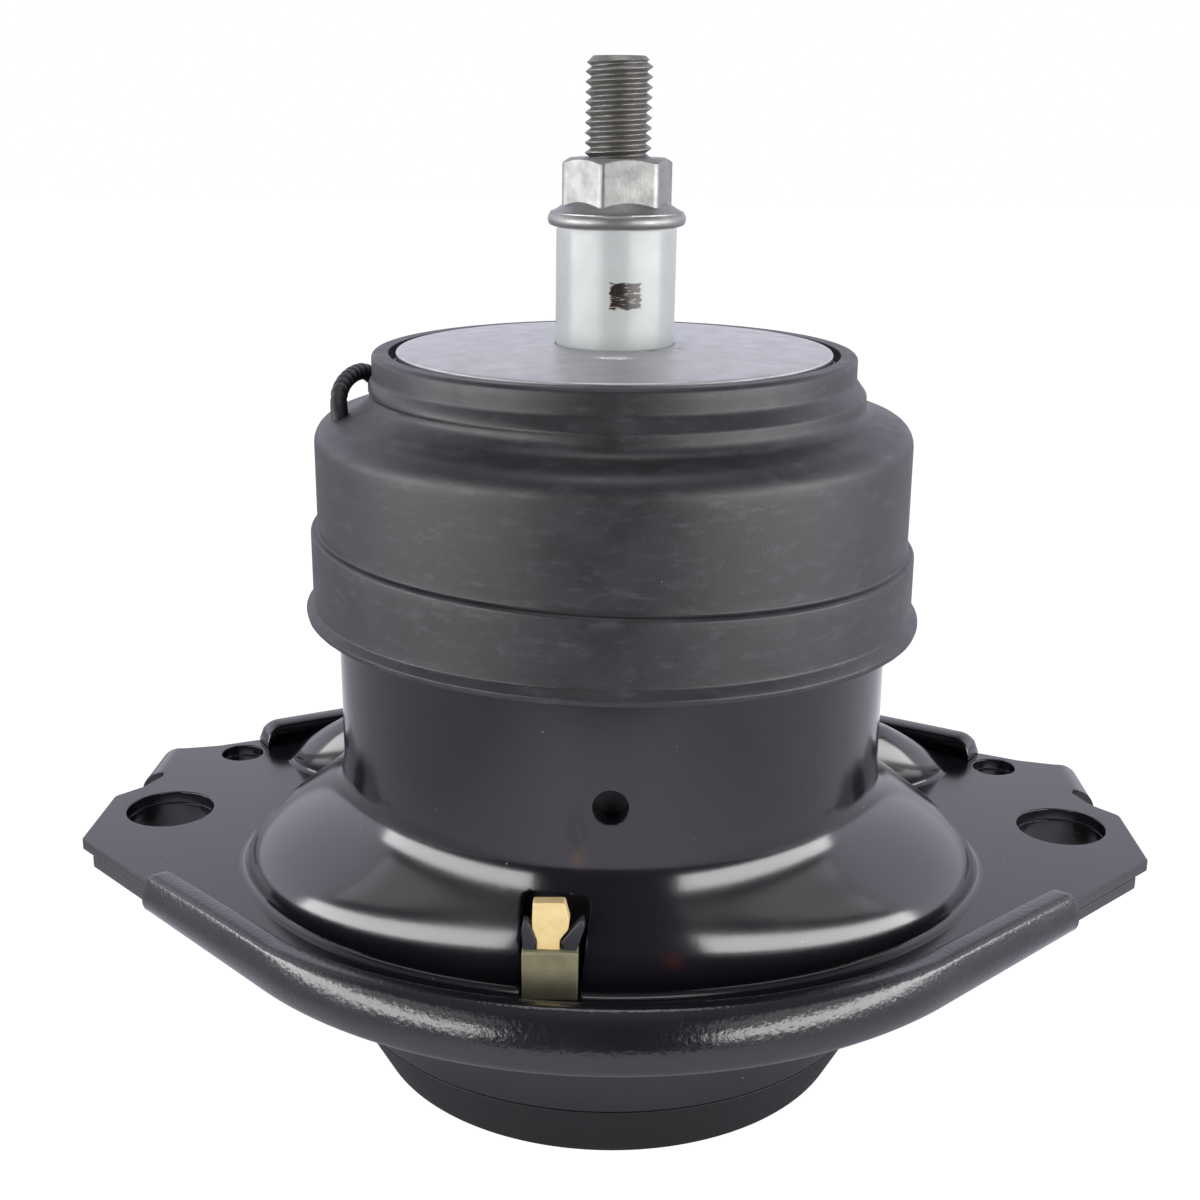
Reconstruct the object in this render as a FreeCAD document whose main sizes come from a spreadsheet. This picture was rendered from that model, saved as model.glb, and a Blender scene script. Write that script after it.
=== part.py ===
import FreeCAD, Part
import os
import Sketcher
from FreeCAD import Placement, Rotation, Vector

# Hydraulic engine mount: a two-layer pressed steel base with two bolt ears, a round canister
# with a rubber boot, and an M12 stud on an aluminium core held by a bonded rubber spring.
# The origin is the middle of the bottom cup's underside, on the stud's axis. +Z is up along
# the stud, +X goes through the right ear and -Y faces the front, where the clip window is.

doc = FreeCAD.newDocument("EngineMount")

# Driving dimensions in millimetres and degrees
sizes = {
    "fit": 0.1,                  # play between pressed or slid metal pieces
    "sheet": 2.5,                # steel sheet of both plates, canister and shell
    "canister_radius": 52.6,
    "canister_height": 73.9,     # plate top to crimped edge
    "crimp_lap": 6.6,            # width of the edge crimped over the shell
    "vent_radius": 3.1,          # round hole in the canister's front
    "vent_rise": 32.9,
    "vent_side": 1.3,
    "cup_height": 12.5,          # bottom cup
    "cup_taper": 6.6,
    "cup_play": 0.3,
    "cup_spigot_rise": 3.1,
    "pot_step": 0.8,             # drawn pot under the lower plate, outside the canister's line
    "pot_depth": 20.6,
    "pot_ledge": 9.4,
    "bell_height": 25.3,         # from the plate up to the straight canister
    "bell_flare": 20.7,          # how far the bell's oval foot spreads along X
    "bell_bulge": 4.4,           # and along Y
    "bell_bulge_power": 0.9,
    "bell_rings": 6,
    "lobe_height": 15.0,         # lower dome behind the bell
    "lobe_reach": 75.5,
    "lobe_depth": 27.0,
    "lobe_back": 50.0,
    "lobe_top_reach": 58.5,
    "lobe_top_depth": 13.0,
    "lobe_top_back": 38.0,
    "lobe_power": 1.3,
    "lobe_rings": 4,
    "window_left": 13.3,
    "window_right": 2.6,
    "window_height": 17.1,
    "bolt_x": 95.2,
    "bolt_y": 17.5,
    "bolt_hole_radius": 9.16,
    "collar_wall": 1.6,          # the lower layer's bolt holes are drawn down into collars
    "collar_height": 4.5,
    "locating_x": 87.3,
    "locating_y": 50.2,
    "locating_hole_radius": 4.73,
    "locating_margin": 6.69,     # from the locating hole's middle to the rear edge
    "rim_centre": 9.6,           # middle of the base's round edge, behind the stud axis
    "front_angle": 45.0,         # slope of the straight runs of the front edge
    "back_angle": 30.0,
    "front_stop": 19.2,          # the front lip's ends stop this far short of the ear tips
    "rear_stop": 8.7,            # the rear lip's ends stop this far short of the rear corners
    "front_lap": 5.2,            # width of the rolled lip at its ends
    "front_lap_mid": 6.4,
    "front_rise": 2.4,           # open gap under the front lip
    "back_lap": 7.0,
    "back_lap_mid": 7.5,
    "back_rise": 2.9,            # open gap under the rear lip
    "roll_radius": 3.2,
    "rear_under_radius": 1.2,    # smaller round under the rear edge, which meets the ears
    "ear_margin": 14.0,          # from the bolt hole's middle to the ear's tip
    "ear_side": 6.3,             # and to the end of the tip's straight edge
    "notch_step": 4.8,
    "notch_rise": 5.6,
    "tab_margin": 15.2,          # from the locating hole's middle to the tab's bend
    "tab_lead": 12.7,
    "tab_width": 14.8,
    "tab_root": 0.7,
    "tab_root_drop": 1.3,
    "tab_drop": 8.6,
    "corner_margin": 6.7,
    "corner_rise": 2.3,
    "lower_inset": 2.6,          # the lower layer lies this far inside the upper one's edge
    "lower_tip_inset": 3.0,
    "lower_side_inset": 1.0,
    "lower_corner_inset": 0.6,
    "core_rise": 28.5,           # core's top above the crimped edge
    "core_gap": 12.1,            # core's disc inside the canister's line
    "core_groove": 1.4,
    "core_flange": 7.0,
    "core_step": 2.5,
    "core_neck_step": 11.9,
    "core_neck_drop": 4.0,
    "core_foot_radius": 17.0,
    "core_depth": 48.5,
    "stud_radius": 6.0,          # M12, over the thread's crests
    "thread_depth": 0.95,        # the nut's thread fills this much all round
    "thread_start": 0.5,
    "stud_seat": 40.5,
    "stud_over_nut": 17.5,
    "stud_chamfer": 1.2,
    "sleeve_radius": 11.0,
    "sleeve_length": 22.6,
    "sleeve_play": 0.3,
    "sleeve_seat": 0.8,          # the sleeve's foot stands in a shallow counterbore
    "nut_height": 12.0,
    "nut_flats": 18.0,
    "nut_angle": 14.2,
    "nut_flange_radius": 12.7,
    "nut_flange": 1.4,
    "nut_flange_cone": 3.0,
    "nut_bevel": 1.4,
    "boot_play": 0.3,
    "boot_wall": 3.0,
    "boot_rim_wall": 3.1,
    "boot_rim_round": 0.5,
    "boot_collar": 4.7,
    "boot_collar_slope": 2.5,
    "boot_bead": 1.9,
    "boot_bead_height": 1.8,
    "boot_bead_under": 1.7,
    "boot_groove": 1.2,
    "shoulder_radius": 4.5,
    "shoulder_angle": 10.0,
    "shoulder_wall": 3.6,
    "boot_skirt": 49.9,
    "boot_band": 14.5,
    "boot_band_step": 1.3,
    "boot_lip": 1.2,
    "boot_lip_step": 1.5,
    "boot_lip_bevel": 0.6,
    "boot_hook": 3.0,
    "boot_hook_width": 5.4,
    "boot_hook_slope": 1.8,
    "boot_shelf": 8.0,
    "bump_inset": 1.4,
    "bump_width": 4.6,
    "bump_height": 6.0,
    "spring_top_drop": 5.5,
    "spring_top_reach": 6.0,
    "spring_bond": 44.0,
    "spring_neck_drop": 14.5,
    "spring_neck_cover": 3.0,
    "spring_foot_reach": 8.0,
    "spring_foot_rise": 6.0,
    "spring_cover": 5.0,
    "channel_plate": 6.0,
    "channel_play": 0.3,
    "channel_inset": 9.1,
    "channel_width": 7.0,
    "channel_depth": 4.0,
    "channel_gap_angle": 40.0,         # closed part of the turn between the track's two ends
    "port_radius": 2.5,
    "port_angle": 5.0,
    "seat_radius": 22.0,
    "seat_depth": 2.0,
    "flow_hole_radius": 2.8,
    "flow_hole_circle": 13.0,
    "flow_holes": 6,
    "decoupler_play": 0.3,
    "seal_inset": 2.6,
    "seal_radius": 1.0,
    "rivet_radius": 2.0,
    "rivet_inset": 11.5,
    "rivet_angle": 30.0,
    "rivet_head_radius": 3.5,
    "rivet_head": 1.2,
    "rivets": 3,
    "plug_radius": 3.0,
    "plug_head_radius": 4.5,
    "plug_head": 1.5,
    "plug_angle": 90.0,
    "clamp_ring": 2.5,
    "clamp_ring_width": 6.1,
    "diaphragm_rim": 3.0,
    "diaphragm_wall": 1.8,
    "diaphragm_lip": 6.0,
    "diaphragm_slope": 3.5,
    "diaphragm_fold": 10.0,
    "diaphragm_fold_width": 8.0,
    "diaphragm_crown_slope": 7.0,
    "clip_gap": 1.4,             # open strip right of the clip in its window
    "clip_stand": 2.5,
    "clip_height": 9.1,
    "tongue_gap": 1.7,
    "tongue_width": 5.4,
    "tongue_height": 8.6,
    "tongue_setback": 1.1,
    "tongue_depth": 2.6,
    "tongue_inset": 0.5,
    "tongue_bulge": 0.9,
    "neck_width": 4.0,
    "neck_height": 1.6,
    "neck_slope": 2.0,
    "bulge_height": 1.1,
    "hook_height": 5.4,
    "hook_depth": 2.4,
    "hook_gap": 0.4,
    "hook_foot": 0.6,
    "hook_foot_height": 1.8,
    "hook_shoulder": 3.4,
    "tether_radius": 1.4,
    "tether_inset": 4.9,
    "tether_start_angle": 188.0,
    "tether_end_angle": 157.0,
    "tether_rise": 4.6,
    "tether_root": 2.0,
    "tether_bend": 4.0,
}

sheet = doc.addObject("Spreadsheet::Sheet", "Sizes")
for row, (alias, value) in enumerate(sizes.items(), start=1):
    sheet.set("A%d" % row, alias)
    sheet.set("B%d" % row, str(value))
    sheet.setAlias("B%d" % row, alias)
doc.recompute()


def size(alias):
    """Expression text for one driving dimension."""
    return "Sizes." + alias


def number(expression):
    """Present value of an expression of the sheet."""
    return float(sheet.evalExpression(str(expression)))


def plus(*terms):
    return "(" + " + ".join(str(term) for term in terms) + ")"


def minus(first, *terms):
    return "(" + " - ".join([str(first)] + [str(term) for term in terms]) + ")"


def times(*terms):
    return "(" + " * ".join(str(term) for term in terms) + ")"


# Heights that pieces share, worked out from the bottom cup upwards
ledge_top = plus(size("cup_height"), size("sheet"))
plate_under = plus(size("cup_height"), size("pot_depth"))
plate_middle = plus(plate_under, size("sheet"))
plate_top = plus(plate_middle, size("sheet"))
bell_top = plus(plate_top, size("bell_height"))
canister_top = plus(plate_top, size("canister_height"))
crimp_under = minus(canister_top, size("sheet"))
core_top = plus(canister_top, size("core_rise"))
sleeve_foot = minus(core_top, size("sleeve_seat"))
sleeve_top = plus(core_top, size("sleeve_length"))
nut_top = plus(sleeve_top, size("nut_height"))
stud_top = plus(nut_top, size("stud_over_nut"))
vent_height = plus(plate_top, size("vent_rise"))
core_under = minus(core_top, size("core_step"), size("core_flange"))
clamp_top = plus(ledge_top, size("clamp_ring"))
rim_top = plus(clamp_top, size("diaphragm_rim"))
channel_middle = plus(rim_top, size("channel_plate"))
channel_top = plus(channel_middle, size("channel_plate"))

# Radii that pieces share, all from the canister's and the core's
pot_radius = plus(size("canister_radius"), size("pot_step"))
pot_inner = minus(pot_radius, size("sheet"))
ledge_radius = minus(pot_radius, size("pot_ledge"))
stack_radius = minus(pot_inner, size("channel_play"))
clamp_inner = minus(stack_radius, size("clamp_ring_width"))
canister_inner = minus(size("canister_radius"), size("sheet"))
shell_outer = minus(canister_inner, size("fit"))
shell_inner = minus(shell_outer, size("sheet"))
core_radius = minus(size("canister_radius"), size("core_gap"))
flange_radius = plus(core_radius, size("core_groove"))
bell_depth = plus(size("canister_radius"), size("bell_bulge"))
boot_inner = plus(size("canister_radius"), size("boot_play"))
boot_radius = plus(boot_inner, size("boot_wall"))

# Plan of the base, from its bolt and locating holes
ear_reach = plus(size("bolt_x"), size("ear_margin"))
ear_side_end = plus(size("bolt_y"), size("ear_side"))
notch_x = minus(ear_reach, size("notch_step"))
notch_y = plus(ear_side_end, size("notch_rise"))
tab_bend_x = plus(size("locating_x"), size("tab_margin"))
tab_front = minus(size("locating_y"), size("tab_lead"))
tab_back = plus(tab_front, size("tab_width"))
root_x = minus(tab_bend_x, size("tab_root"))
root_y = minus(tab_front, size("tab_root_drop"))
rear_corner_x = plus(size("locating_x"), size("corner_margin"))
rear_corner_y = plus(tab_back, size("corner_rise"))
rim_radius = plus(times(size("locating_x"), "sin(%s)" % size("back_angle")),
                  times(minus(size("locating_y"), size("rim_centre")), "cos(%s)" % size("back_angle")),
                  size("locating_margin"))


def straight_run(angle, end_x):
    """Length of a straight run of the edge that ends at this X."""
    return "((%s - %s * sin(%s)) / cos(%s))" % (end_x, rim_radius, angle, angle)


front_run = straight_run(size("front_angle"), minus(ear_reach, size("front_stop")))
back_run = straight_run(size("back_angle"), minus(rear_corner_x, size("rear_stop")))


def draw(sketch, corners):
    """Draw a closed outline and tie every corner to the sheet.

    A corner is (x, y), or (x, y, radius, centre_x, centre_y, turn) where an arc leads on to
    the next corner; turn is 1 for anticlockwise and -1 for clockwise.
    """
    spots = [Vector(number(corner[0]), number(corner[1]), 0) for corner in corners]
    ends = []
    for index, corner in enumerate(corners):
        here, there = spots[index], spots[(index + 1) % len(spots)]
        if len(corner) == 2:
            edge = sketch.addGeometry(Part.LineSegment(here, there), False)
            ends.append((edge, 1, 2))
            continue
        radius, centre_x, centre_y, turn = corner[2:]
        centre = Vector(number(centre_x), number(centre_y), 0)
        circle = Part.Circle(centre, Vector(0, 0, 1), number(radius))
        first, last = (here, there) if turn > 0 else (there, here)
        arc = Part.ArcOfCircle(circle, circle.parameter(first), circle.parameter(last))
        edge = sketch.addGeometry(arc, False)
        ends.append((edge, 1, 2) if turn > 0 else (edge, 2, 1))
        radius_tie = sketch.addConstraint(Sketcher.Constraint("Radius", edge, number(radius)))
        sketch.setExpression("Constraints[%d]" % radius_tie, radius)
    for index, corner in enumerate(corners):
        edge, start, _ = ends[index]
        previous, _, finish = ends[index - 1]
        sketch.addConstraint(Sketcher.Constraint("Coincident", previous, finish, edge, start))
        pin_coordinate(sketch, "DistanceX", -2, edge, start, corner[0])
        pin_coordinate(sketch, "DistanceY", -1, edge, start, corner[1])


def pin_coordinate(sketch, kind, axis, edge, end, expression):
    """Hold one coordinate of an end point at an expression of the sheet."""
    value = number(expression)
    if abs(value) < 1e-9:
        sketch.addConstraint(Sketcher.Constraint("PointOnObject", edge, end, axis))
        return
    if value > 0:
        constraint = Sketcher.Constraint(kind, -1, 1, edge, end, value)
        tie = str(expression)
    else:
        constraint = Sketcher.Constraint(kind, edge, end, -1, 1, -value)
        tie = "-1 * " + str(expression)
    index = sketch.addConstraint(constraint)
    sketch.setExpression("Constraints[%d]" % index, tie)


def plane_of(body, role):
    return [feature for feature in body.Origin.OriginFeatures if feature.Role == role][0]


def body_sketch(body, name, role, corners):
    sketch = body.newObject("Sketcher::SketchObject", name)
    sketch.AttachmentSupport = [(plane_of(body, role), "")]
    sketch.MapMode = "FlatFace"
    draw(sketch, corners)
    return sketch


def turned(name, corners):
    """Body turned about Z from a half section of (radius, height) corners."""
    body = doc.addObject("PartDesign::Body", name)
    sketch = body_sketch(body, name + "_section", "XZ_Plane", corners)
    turn = body.newObject("PartDesign::Revolution", name + "_turn")
    turn.Profile = sketch
    turn.ReferenceAxis = (sketch, ["V_Axis"])
    turn.Angle = 360
    sketch.Visibility = False
    doc.recompute()
    return body


def circle_edges(shape, radius, height):
    """Names of the full circles about Z with this radius at this height."""
    names = []
    for index, edge in enumerate(shape.Edges, start=1):
        if not isinstance(edge.Curve, Part.Circle):
            continue
        centre = edge.Curve.Center
        off_axis = max(abs(centre.x), abs(centre.y))
        off_place = max(abs(edge.Curve.Radius - number(radius)), abs(centre.z - number(height)))
        if max(off_axis, off_place) < 1e-3:
            names.append("Edge%d" % index)
    return names


def rounded(body, name, places, radius):
    """Fillet the circles given as (radius, height) places."""
    base = body.Tip
    edges = []
    for place in places:
        edges += circle_edges(base.Shape, *place)
    fillet = body.newObject("PartDesign::Fillet", name)
    fillet.Base = (base, edges)
    fillet.setExpression("Radius", radius)
    doc.recompute()


def flat_sketch(name, height, corners):
    """Free sketch lying flat at a height."""
    sketch = doc.addObject("Sketcher::SketchObject", name)
    draw(sketch, corners)
    sketch.setExpression("Placement.Base.z", height)
    sketch.Visibility = False
    return sketch


def extruded(name, sketch, direction, length):
    block = doc.addObject("Part::Extrusion", name)
    block.Base = sketch
    block.DirMode = "Custom"
    block.Dir = direction
    block.setExpression("LengthFwd", length)
    block.Solid = True
    return block


def cylinder(name, radius, height, base):
    """Upright cylinder; base is (x, y, z) in expressions."""
    peg = doc.addObject("Part::Cylinder", name)
    peg.setExpression("Radius", str(radius))
    peg.setExpression("Height", height)
    for axis, expression in zip("xyz", base):
        peg.setExpression("Placement.Base." + axis, str(expression))
    return peg


def box(name, lengths, base):
    block = doc.addObject("Part::Box", name)
    for side, expression in zip(("Length", "Width", "Height"), lengths):
        block.setExpression(side, str(expression))
    for axis, expression in zip("xyz", base):
        block.setExpression("Placement.Base." + axis, str(expression))
    return block


def fused(name, pieces):
    union = doc.addObject("Part::MultiFuse", name)
    union.Shapes = pieces
    return union


def cut(name, base, tool):
    result = doc.addObject("Part::Cut", name)
    result.Base = base
    result.Tool = tool
    return result


def mirrored(name, source):
    other = doc.addObject("Part::Mirroring", name)
    other.Source = source
    other.Normal = Vector(1, 0, 0)
    return other


def rim_point(side, angle, radius, along, centre):
    """Point on the base's edge: where the arc ends, then so far along the straight run."""
    x = plus(times(radius, "sin(%s)" % angle), times(along, "cos(%s)" % angle))
    y = times(radius, "cos(%s)" % angle)
    fall = times(along, "sin(%s)" % angle)
    return x, plus(centre, times(side, minus(y, fall)))


def rim_line_y(side, angle, radius, x):
    """Height in plan of the straight run at x."""
    reach = "(%s - %s * sin(%s)) / cos(%s)" % (radius, x, angle, angle)
    return plus(size("rim_centre"), times(side, "(" + reach + ")"))


def lip_corners(side, angle, run, lap, lap_mid):
    """Plan of a rolled lip: outer edge, square ends, and an inner edge wider in the middle."""
    centre = size("rim_centre")
    outer = rim_radius
    shift = "((%s - %s) / (1 - cos(%s)))" % (lap_mid, lap, angle)
    inner_centre = minus(centre, times(side, shift))
    inner = minus(plus(shift, outer), lap_mid)
    end_x, end_y = rim_point(side, angle, outer, run, centre)
    inner_end_x = minus(end_x, times(lap, "sin(%s)" % angle))
    inner_end_y = minus(end_y, times(side, lap, "cos(%s)" % angle))
    bend_x, bend_y = rim_point(side, angle, outer, 0, centre)
    inner_bend_x, inner_bend_y = rim_point(side, angle, inner, 0, inner_centre)
    turn = -side
    return [
        (times(-1, end_x), end_y),
        (times(-1, bend_x), bend_y, outer, 0, centre, turn),
        (bend_x, bend_y),
        (end_x, end_y),
        (inner_end_x, inner_end_y),
        (inner_bend_x, inner_bend_y, inner, 0, inner_centre, -turn),
        (times(-1, inner_bend_x), inner_bend_y),
        (times(-1, inner_end_x), inner_end_y),
    ]


front, back = -1, 1
front_angle, back_angle = size("front_angle"), size("back_angle")


def plate_outline(radius, reach, side_end, notch, root, bend_x, corner, step):
    """Plan of one layer: round middle, straight runs and an ear at each side."""
    centre = size("rim_centre")
    front_x, front_y = rim_point(front, front_angle, radius, 0, centre)
    back_x, back_y = rim_point(back, back_angle, radius, 0, centre)
    tip_y = rim_line_y(front, front_angle, radius, reach)
    end_x, end_y = rim_point(back, back_angle, rim_radius, back_run, centre)
    step_x = minus(end_x, times(step, "sin(%s)" % back_angle))
    step_y = minus(end_y, times(step, "cos(%s)" % back_angle))
    right = [
        (front_x, front_y),
        (reach, tip_y),
        (reach, side_end),
        notch,
        root,
        (bend_x, tab_front),
        (bend_x, tab_back),
        corner,
        (end_x, end_y),
        (step_x, step_y),
    ]
    left = [(times(-1, x), y) for x, y in reversed(right)]
    arc_back = (back_x, back_y, radius, 0, centre, 1)
    back_left = (times(-1, back_x), back_y)
    front_left = (times(-1, front_x), front_y, radius, 0, centre, 1)
    return right + [arc_back, back_left] + left[:-1] + [front_left]


# Upper housing: flat plate with two ears and bent tabs, oval bell, rear dome and canister
def oval(name, half_x, half_y, behind, height):
    """Flat ellipse with its middle on the YZ plane."""
    ring = doc.addObject("Part::Ellipse", name)
    ring.setExpression("MajorRadius", half_x)
    ring.setExpression("MinorRadius", half_y)
    ring.setExpression("Placement.Base.y", str(behind))
    ring.setExpression("Placement.Base.z", height)
    ring.Visibility = False
    return ring


def between(low, high, share):
    """Value that share of the way from low to high."""
    return plus(low, times(minus(high, low), share))


def shares(alias):
    """Evenly spaced numbers from 0 to 1, as many as the sheet says."""
    count = round(number(size(alias)))
    return [step / (count - 1) for step in range(count)]


def bell_sections(name, shrink, drop):
    """Ovals from the bell's foot to the round canister, on half a cosine wave."""
    rings = []
    for step, share in enumerate(shares("bell_rings")):
        wave = "((1 + cos(%g)) / 2)" % (180 * share)
        wide = plus(size("canister_radius"), times(size("bell_flare"), wave))
        bulge = times(size("bell_bulge"), "%s ^ %s" % (wave, size("bell_bulge_power")))
        deep = plus(size("canister_radius"), bulge)
        height = minus(between(plate_top, bell_top, share), drop)
        rings.append(oval("%s_ring_%d" % (name, step), minus(wide, shrink), minus(deep, shrink), 0, height))
    return rings


def lobe_sections(name, shrink, drop):
    """Ovals of the lower dome behind the bell; they shrink and move forward as they rise."""
    rings = []
    top = plus(plate_top, size("lobe_height"))
    for step, share in enumerate(shares("lobe_rings")):
        fade = "(%g ^ %s)" % (share, size("lobe_power"))
        wide = minus(between(size("lobe_reach"), size("lobe_top_reach"), fade), shrink)
        deep = minus(between(size("lobe_depth"), size("lobe_top_depth"), fade), shrink)
        behind = between(size("lobe_back"), size("lobe_top_back"), share)
        height = minus(between(plate_top, top, share), drop)
        rings.append(oval("%s_ring_%d" % (name, step), wide, deep, behind, height))
    return rings


def lofted(name, rings):
    skin = doc.addObject("Part::Loft", name)
    skin.Sections = rings
    skin.Solid = True
    skin.Ruled = False
    return skin


def ear_holes(name):
    """Bolt and locating holes of both ears, long enough for both layers."""
    pegs = []
    depth = plus(size("collar_height"), times(4, size("sheet")))
    bottom = minus(plate_under, size("collar_height"), size("sheet"))
    for side in (-1, 1):
        word = "left" if side < 0 else "right"
        bolt = (times(side, size("bolt_x")), size("bolt_y"), bottom)
        locating = (times(side, size("locating_x")), size("locating_y"), bottom)
        pegs.append(cylinder("%s_bolt_%s" % (name, word), size("bolt_hole_radius"), depth, bolt))
        pegs.append(cylinder("%s_locating_%s" % (name, word), size("locating_hole_radius"), depth, locating))
    return pegs


def front_drill(name):
    """Drill for the vent hole, from inside the canister out through its front."""
    drill = cylinder(name, size("vent_radius"), size("canister_radius"),
                     (size("vent_side"), 0, vent_height))
    drill.Placement.Rotation = Rotation(Vector(1, 0, 0), 90)
    drill.setExpression("Placement.Base.y", times(-0.5, size("canister_radius")))
    return drill


def upper_housing():
    step = plus(size("sheet"), size("fit"))
    outline = plate_outline(minus(rim_radius, step), ear_reach, ear_side_end, (notch_x, notch_y),
                            (root_x, root_y), tab_bend_x, (rear_corner_x, rear_corner_y), step)
    plan = flat_sketch("upper_plan", plate_middle, outline)
    plate = extruded("upper_flat", plan, Vector(0, 0, 1), size("sheet"))

    bend_inner, bend_outer = size("sheet"), times(2, size("sheet"))
    bend_x, bend_z = tab_bend_x, minus(plate_middle, size("sheet"))
    tab_end = minus(bend_z, size("tab_drop"))
    tab_section = doc.addObject("Sketcher::SketchObject", "tab_section")
    draw(tab_section, [
        (minus(bend_x, size("sheet")), plate_middle),
        (bend_x, plate_middle, bend_inner, bend_x, bend_z, -1),
        (plus(bend_x, bend_inner), bend_z),
        (plus(bend_x, bend_inner), tab_end),
        (plus(bend_x, bend_outer), tab_end),
        (plus(bend_x, bend_outer), bend_z, bend_outer, bend_x, bend_z, 1),
        (bend_x, plate_top),
        (minus(bend_x, size("sheet")), plate_top),
    ])
    tab_section.Placement = Placement(Vector(0, 0, 0), Rotation(Vector(1, 0, 0), 90))
    tab_section.setExpression("Placement.Base.y", tab_front)
    tab_section.Visibility = False
    tab_right = extruded("tab_right", tab_section, Vector(0, 1, 0), size("tab_width"))
    tab_left = mirrored("tab_left", tab_right)

    bell = lofted("bell_skin", bell_sections("bell", 0, 0))
    lobe = lofted("lobe_skin", lobe_sections("lobe", 0, 0))
    tube_height = minus(canister_top, bell_top)
    tube = cylinder("canister_tube", size("canister_radius"), tube_height, (0, 0, bell_top))
    solid = fused("housing_solid", [plate, tab_right, tab_left, bell, lobe, tube])

    bell_hollow = lofted("bell_hollow", bell_sections("hollow", size("sheet"), size("sheet")))
    lobe_hollow = lofted("lobe_hollow", lobe_sections("rear_hollow", size("sheet"), size("sheet")))
    hollow_foot = minus(bell_top, size("sheet"))
    tube_hollow = cylinder("canister_hollow", canister_inner, minus(crimp_under, hollow_foot),
                           (0, 0, hollow_foot))
    mouth = cylinder("crimp_mouth", minus(size("canister_radius"), size("crimp_lap")),
                     times(4, size("sheet")), (0, 0, minus(crimp_under, size("sheet"))))
    vent = front_drill("vent_drill")
    window = box("window_cut",
                 [minus(size("window_left"), size("window_right")), times(4, size("sheet")),
                  size("window_height")],
                 (times(-1, size("window_left")), minus(times(-1, bell_depth), size("sheet")), plate_top))
    hollows = fused("housing_hollows", [bell_hollow, lobe_hollow, tube_hollow, mouth, vent, window]
                    + ear_holes("upper"))
    return cut("upper_housing", solid, hollows)


# Lower plate: flat layer with the front and rear edges rolled over the upper one, and the pot
def rolled_edge(name, side, angle, run, lap, lap_mid, rise):
    """Edge of the lower layer: its floor, an upright wall and a lip over the upper layer."""
    def strip(part, base, inner, inner_mid, height):
        plan = flat_sketch("%s_%s_plan" % (name, part), base,
                           lip_corners(side, angle, run, inner, inner_mid))
        return extruded("%s_%s" % (name, part), plan, Vector(0, 0, 1), height)

    thick = size("sheet")
    floor_lap = plus(size("lower_inset"), thick)
    return [
        strip("floor", plate_under, floor_lap, floor_lap, thick),
        strip("wall", plate_under, thick, thick, plus(times(3, thick), rise)),
        strip("lip", plus(plate_top, rise), lap, lap_mid, thick),
    ]


def lower_plate():
    inset = size("lower_inset")
    tip = size("lower_tip_inset")
    outline = plate_outline(minus(rim_radius, inset), minus(ear_reach, tip),
                            minus(ear_side_end, size("lower_side_inset")),
                            (minus(notch_x, tip), notch_y), (minus(root_x, tip), root_y),
                            minus(tab_bend_x, size("lower_side_inset")),
                            (rear_corner_x, minus(rear_corner_y, size("lower_corner_inset"))), inset)
    plan = flat_sketch("lower_plan", plate_under, outline)
    pieces = [extruded("lower_flat", plan, Vector(0, 0, 1), size("sheet"))]
    pieces += rolled_edge("front_roll", front, front_angle, front_run, size("front_lap"),
                          size("front_lap_mid"), size("front_rise"))
    pieces += rolled_edge("rear_roll", back, back_angle, back_run, size("back_lap"),
                          size("back_lap_mid"), size("back_rise"))
    pieces.append(cylinder("pot_outside", pot_radius, size("pot_depth"), (0, 0, size("cup_height"))))
    for side, word in ((-1, "left"), (1, "right")):
        base = (times(side, size("bolt_x")), size("bolt_y"), minus(plate_under, size("collar_height")))
        pieces.append(cylinder("bolt_collar_" + word, plus(size("bolt_hole_radius"), size("collar_wall")),
                               plus(size("collar_height"), times(0.5, size("sheet"))), base))
    solid = fused("lower_solid", pieces)
    pot_hollow = cylinder("pot_hollow", pot_inner, plus(size("pot_depth"), size("sheet")),
                          (0, 0, ledge_top))
    mouth = cylinder("pot_mouth", ledge_radius, times(4, size("sheet")),
                     (0, 0, minus(size("cup_height"), size("sheet"))))
    hollows = fused("lower_hollows", [pot_hollow, mouth] + ear_holes("lower"))
    sharp = cut("lower_sharp", solid, hollows)
    doc.recompute()

    front_top = plus(plate_top, size("sheet"), size("front_rise"))
    rear_top = plus(plate_top, size("sheet"), size("back_rise"))
    roll = min(number(size("roll_radius")), 0.48 * number(minus(front_top, plate_under)))
    rounds = [
        (front, plate_under, roll),
        (front, front_top, roll),
        (back, plate_under, number(size("rear_under_radius"))),
        (back, rear_top, roll),
    ]
    picked = []
    for side, level, radius in rounds:
        picked += [(index, radius, radius) for index in rim_edges(sharp.Shape, side, number(level))]
    smooth = doc.addObject("Part::Fillet", "lower_plate")
    smooth.Base = sharp
    smooth.Edges = picked
    return smooth


def rim_edges(shape, side, level):
    """Numbers of the level edges on the outer face of one rolled edge."""
    reach = number(rim_radius)
    angle = number(front_angle if side == front else back_angle)
    run = number(front_run if side == front else back_run)
    turned_back = Rotation(Vector(0, 0, 1), angle).multVec(Vector(0, 1, 0))
    across, ahead = abs(turned_back.x), abs(turned_back.y)
    picked = []
    for index, edge in enumerate(shape.Edges, start=1):
        middle = edge.valueAt((edge.FirstParameter + edge.LastParameter) / 2)
        x, y = abs(middle.x), side * (middle.y - number(size("rim_centre")))
        if edge.BoundBox.ZLength > 1e-6 or abs(middle.z - level) > 1e-3 or y < 0:
            continue
        on_arc = abs((x * x + y * y) ** 0.5 - reach) < 1e-3 and x < reach * across
        on_run = abs(x * across + y * ahead - reach) < 1e-3 and 0 < x - reach * across < run * ahead
        if on_arc or on_run:
            picked.append(index)
    return picked


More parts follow.
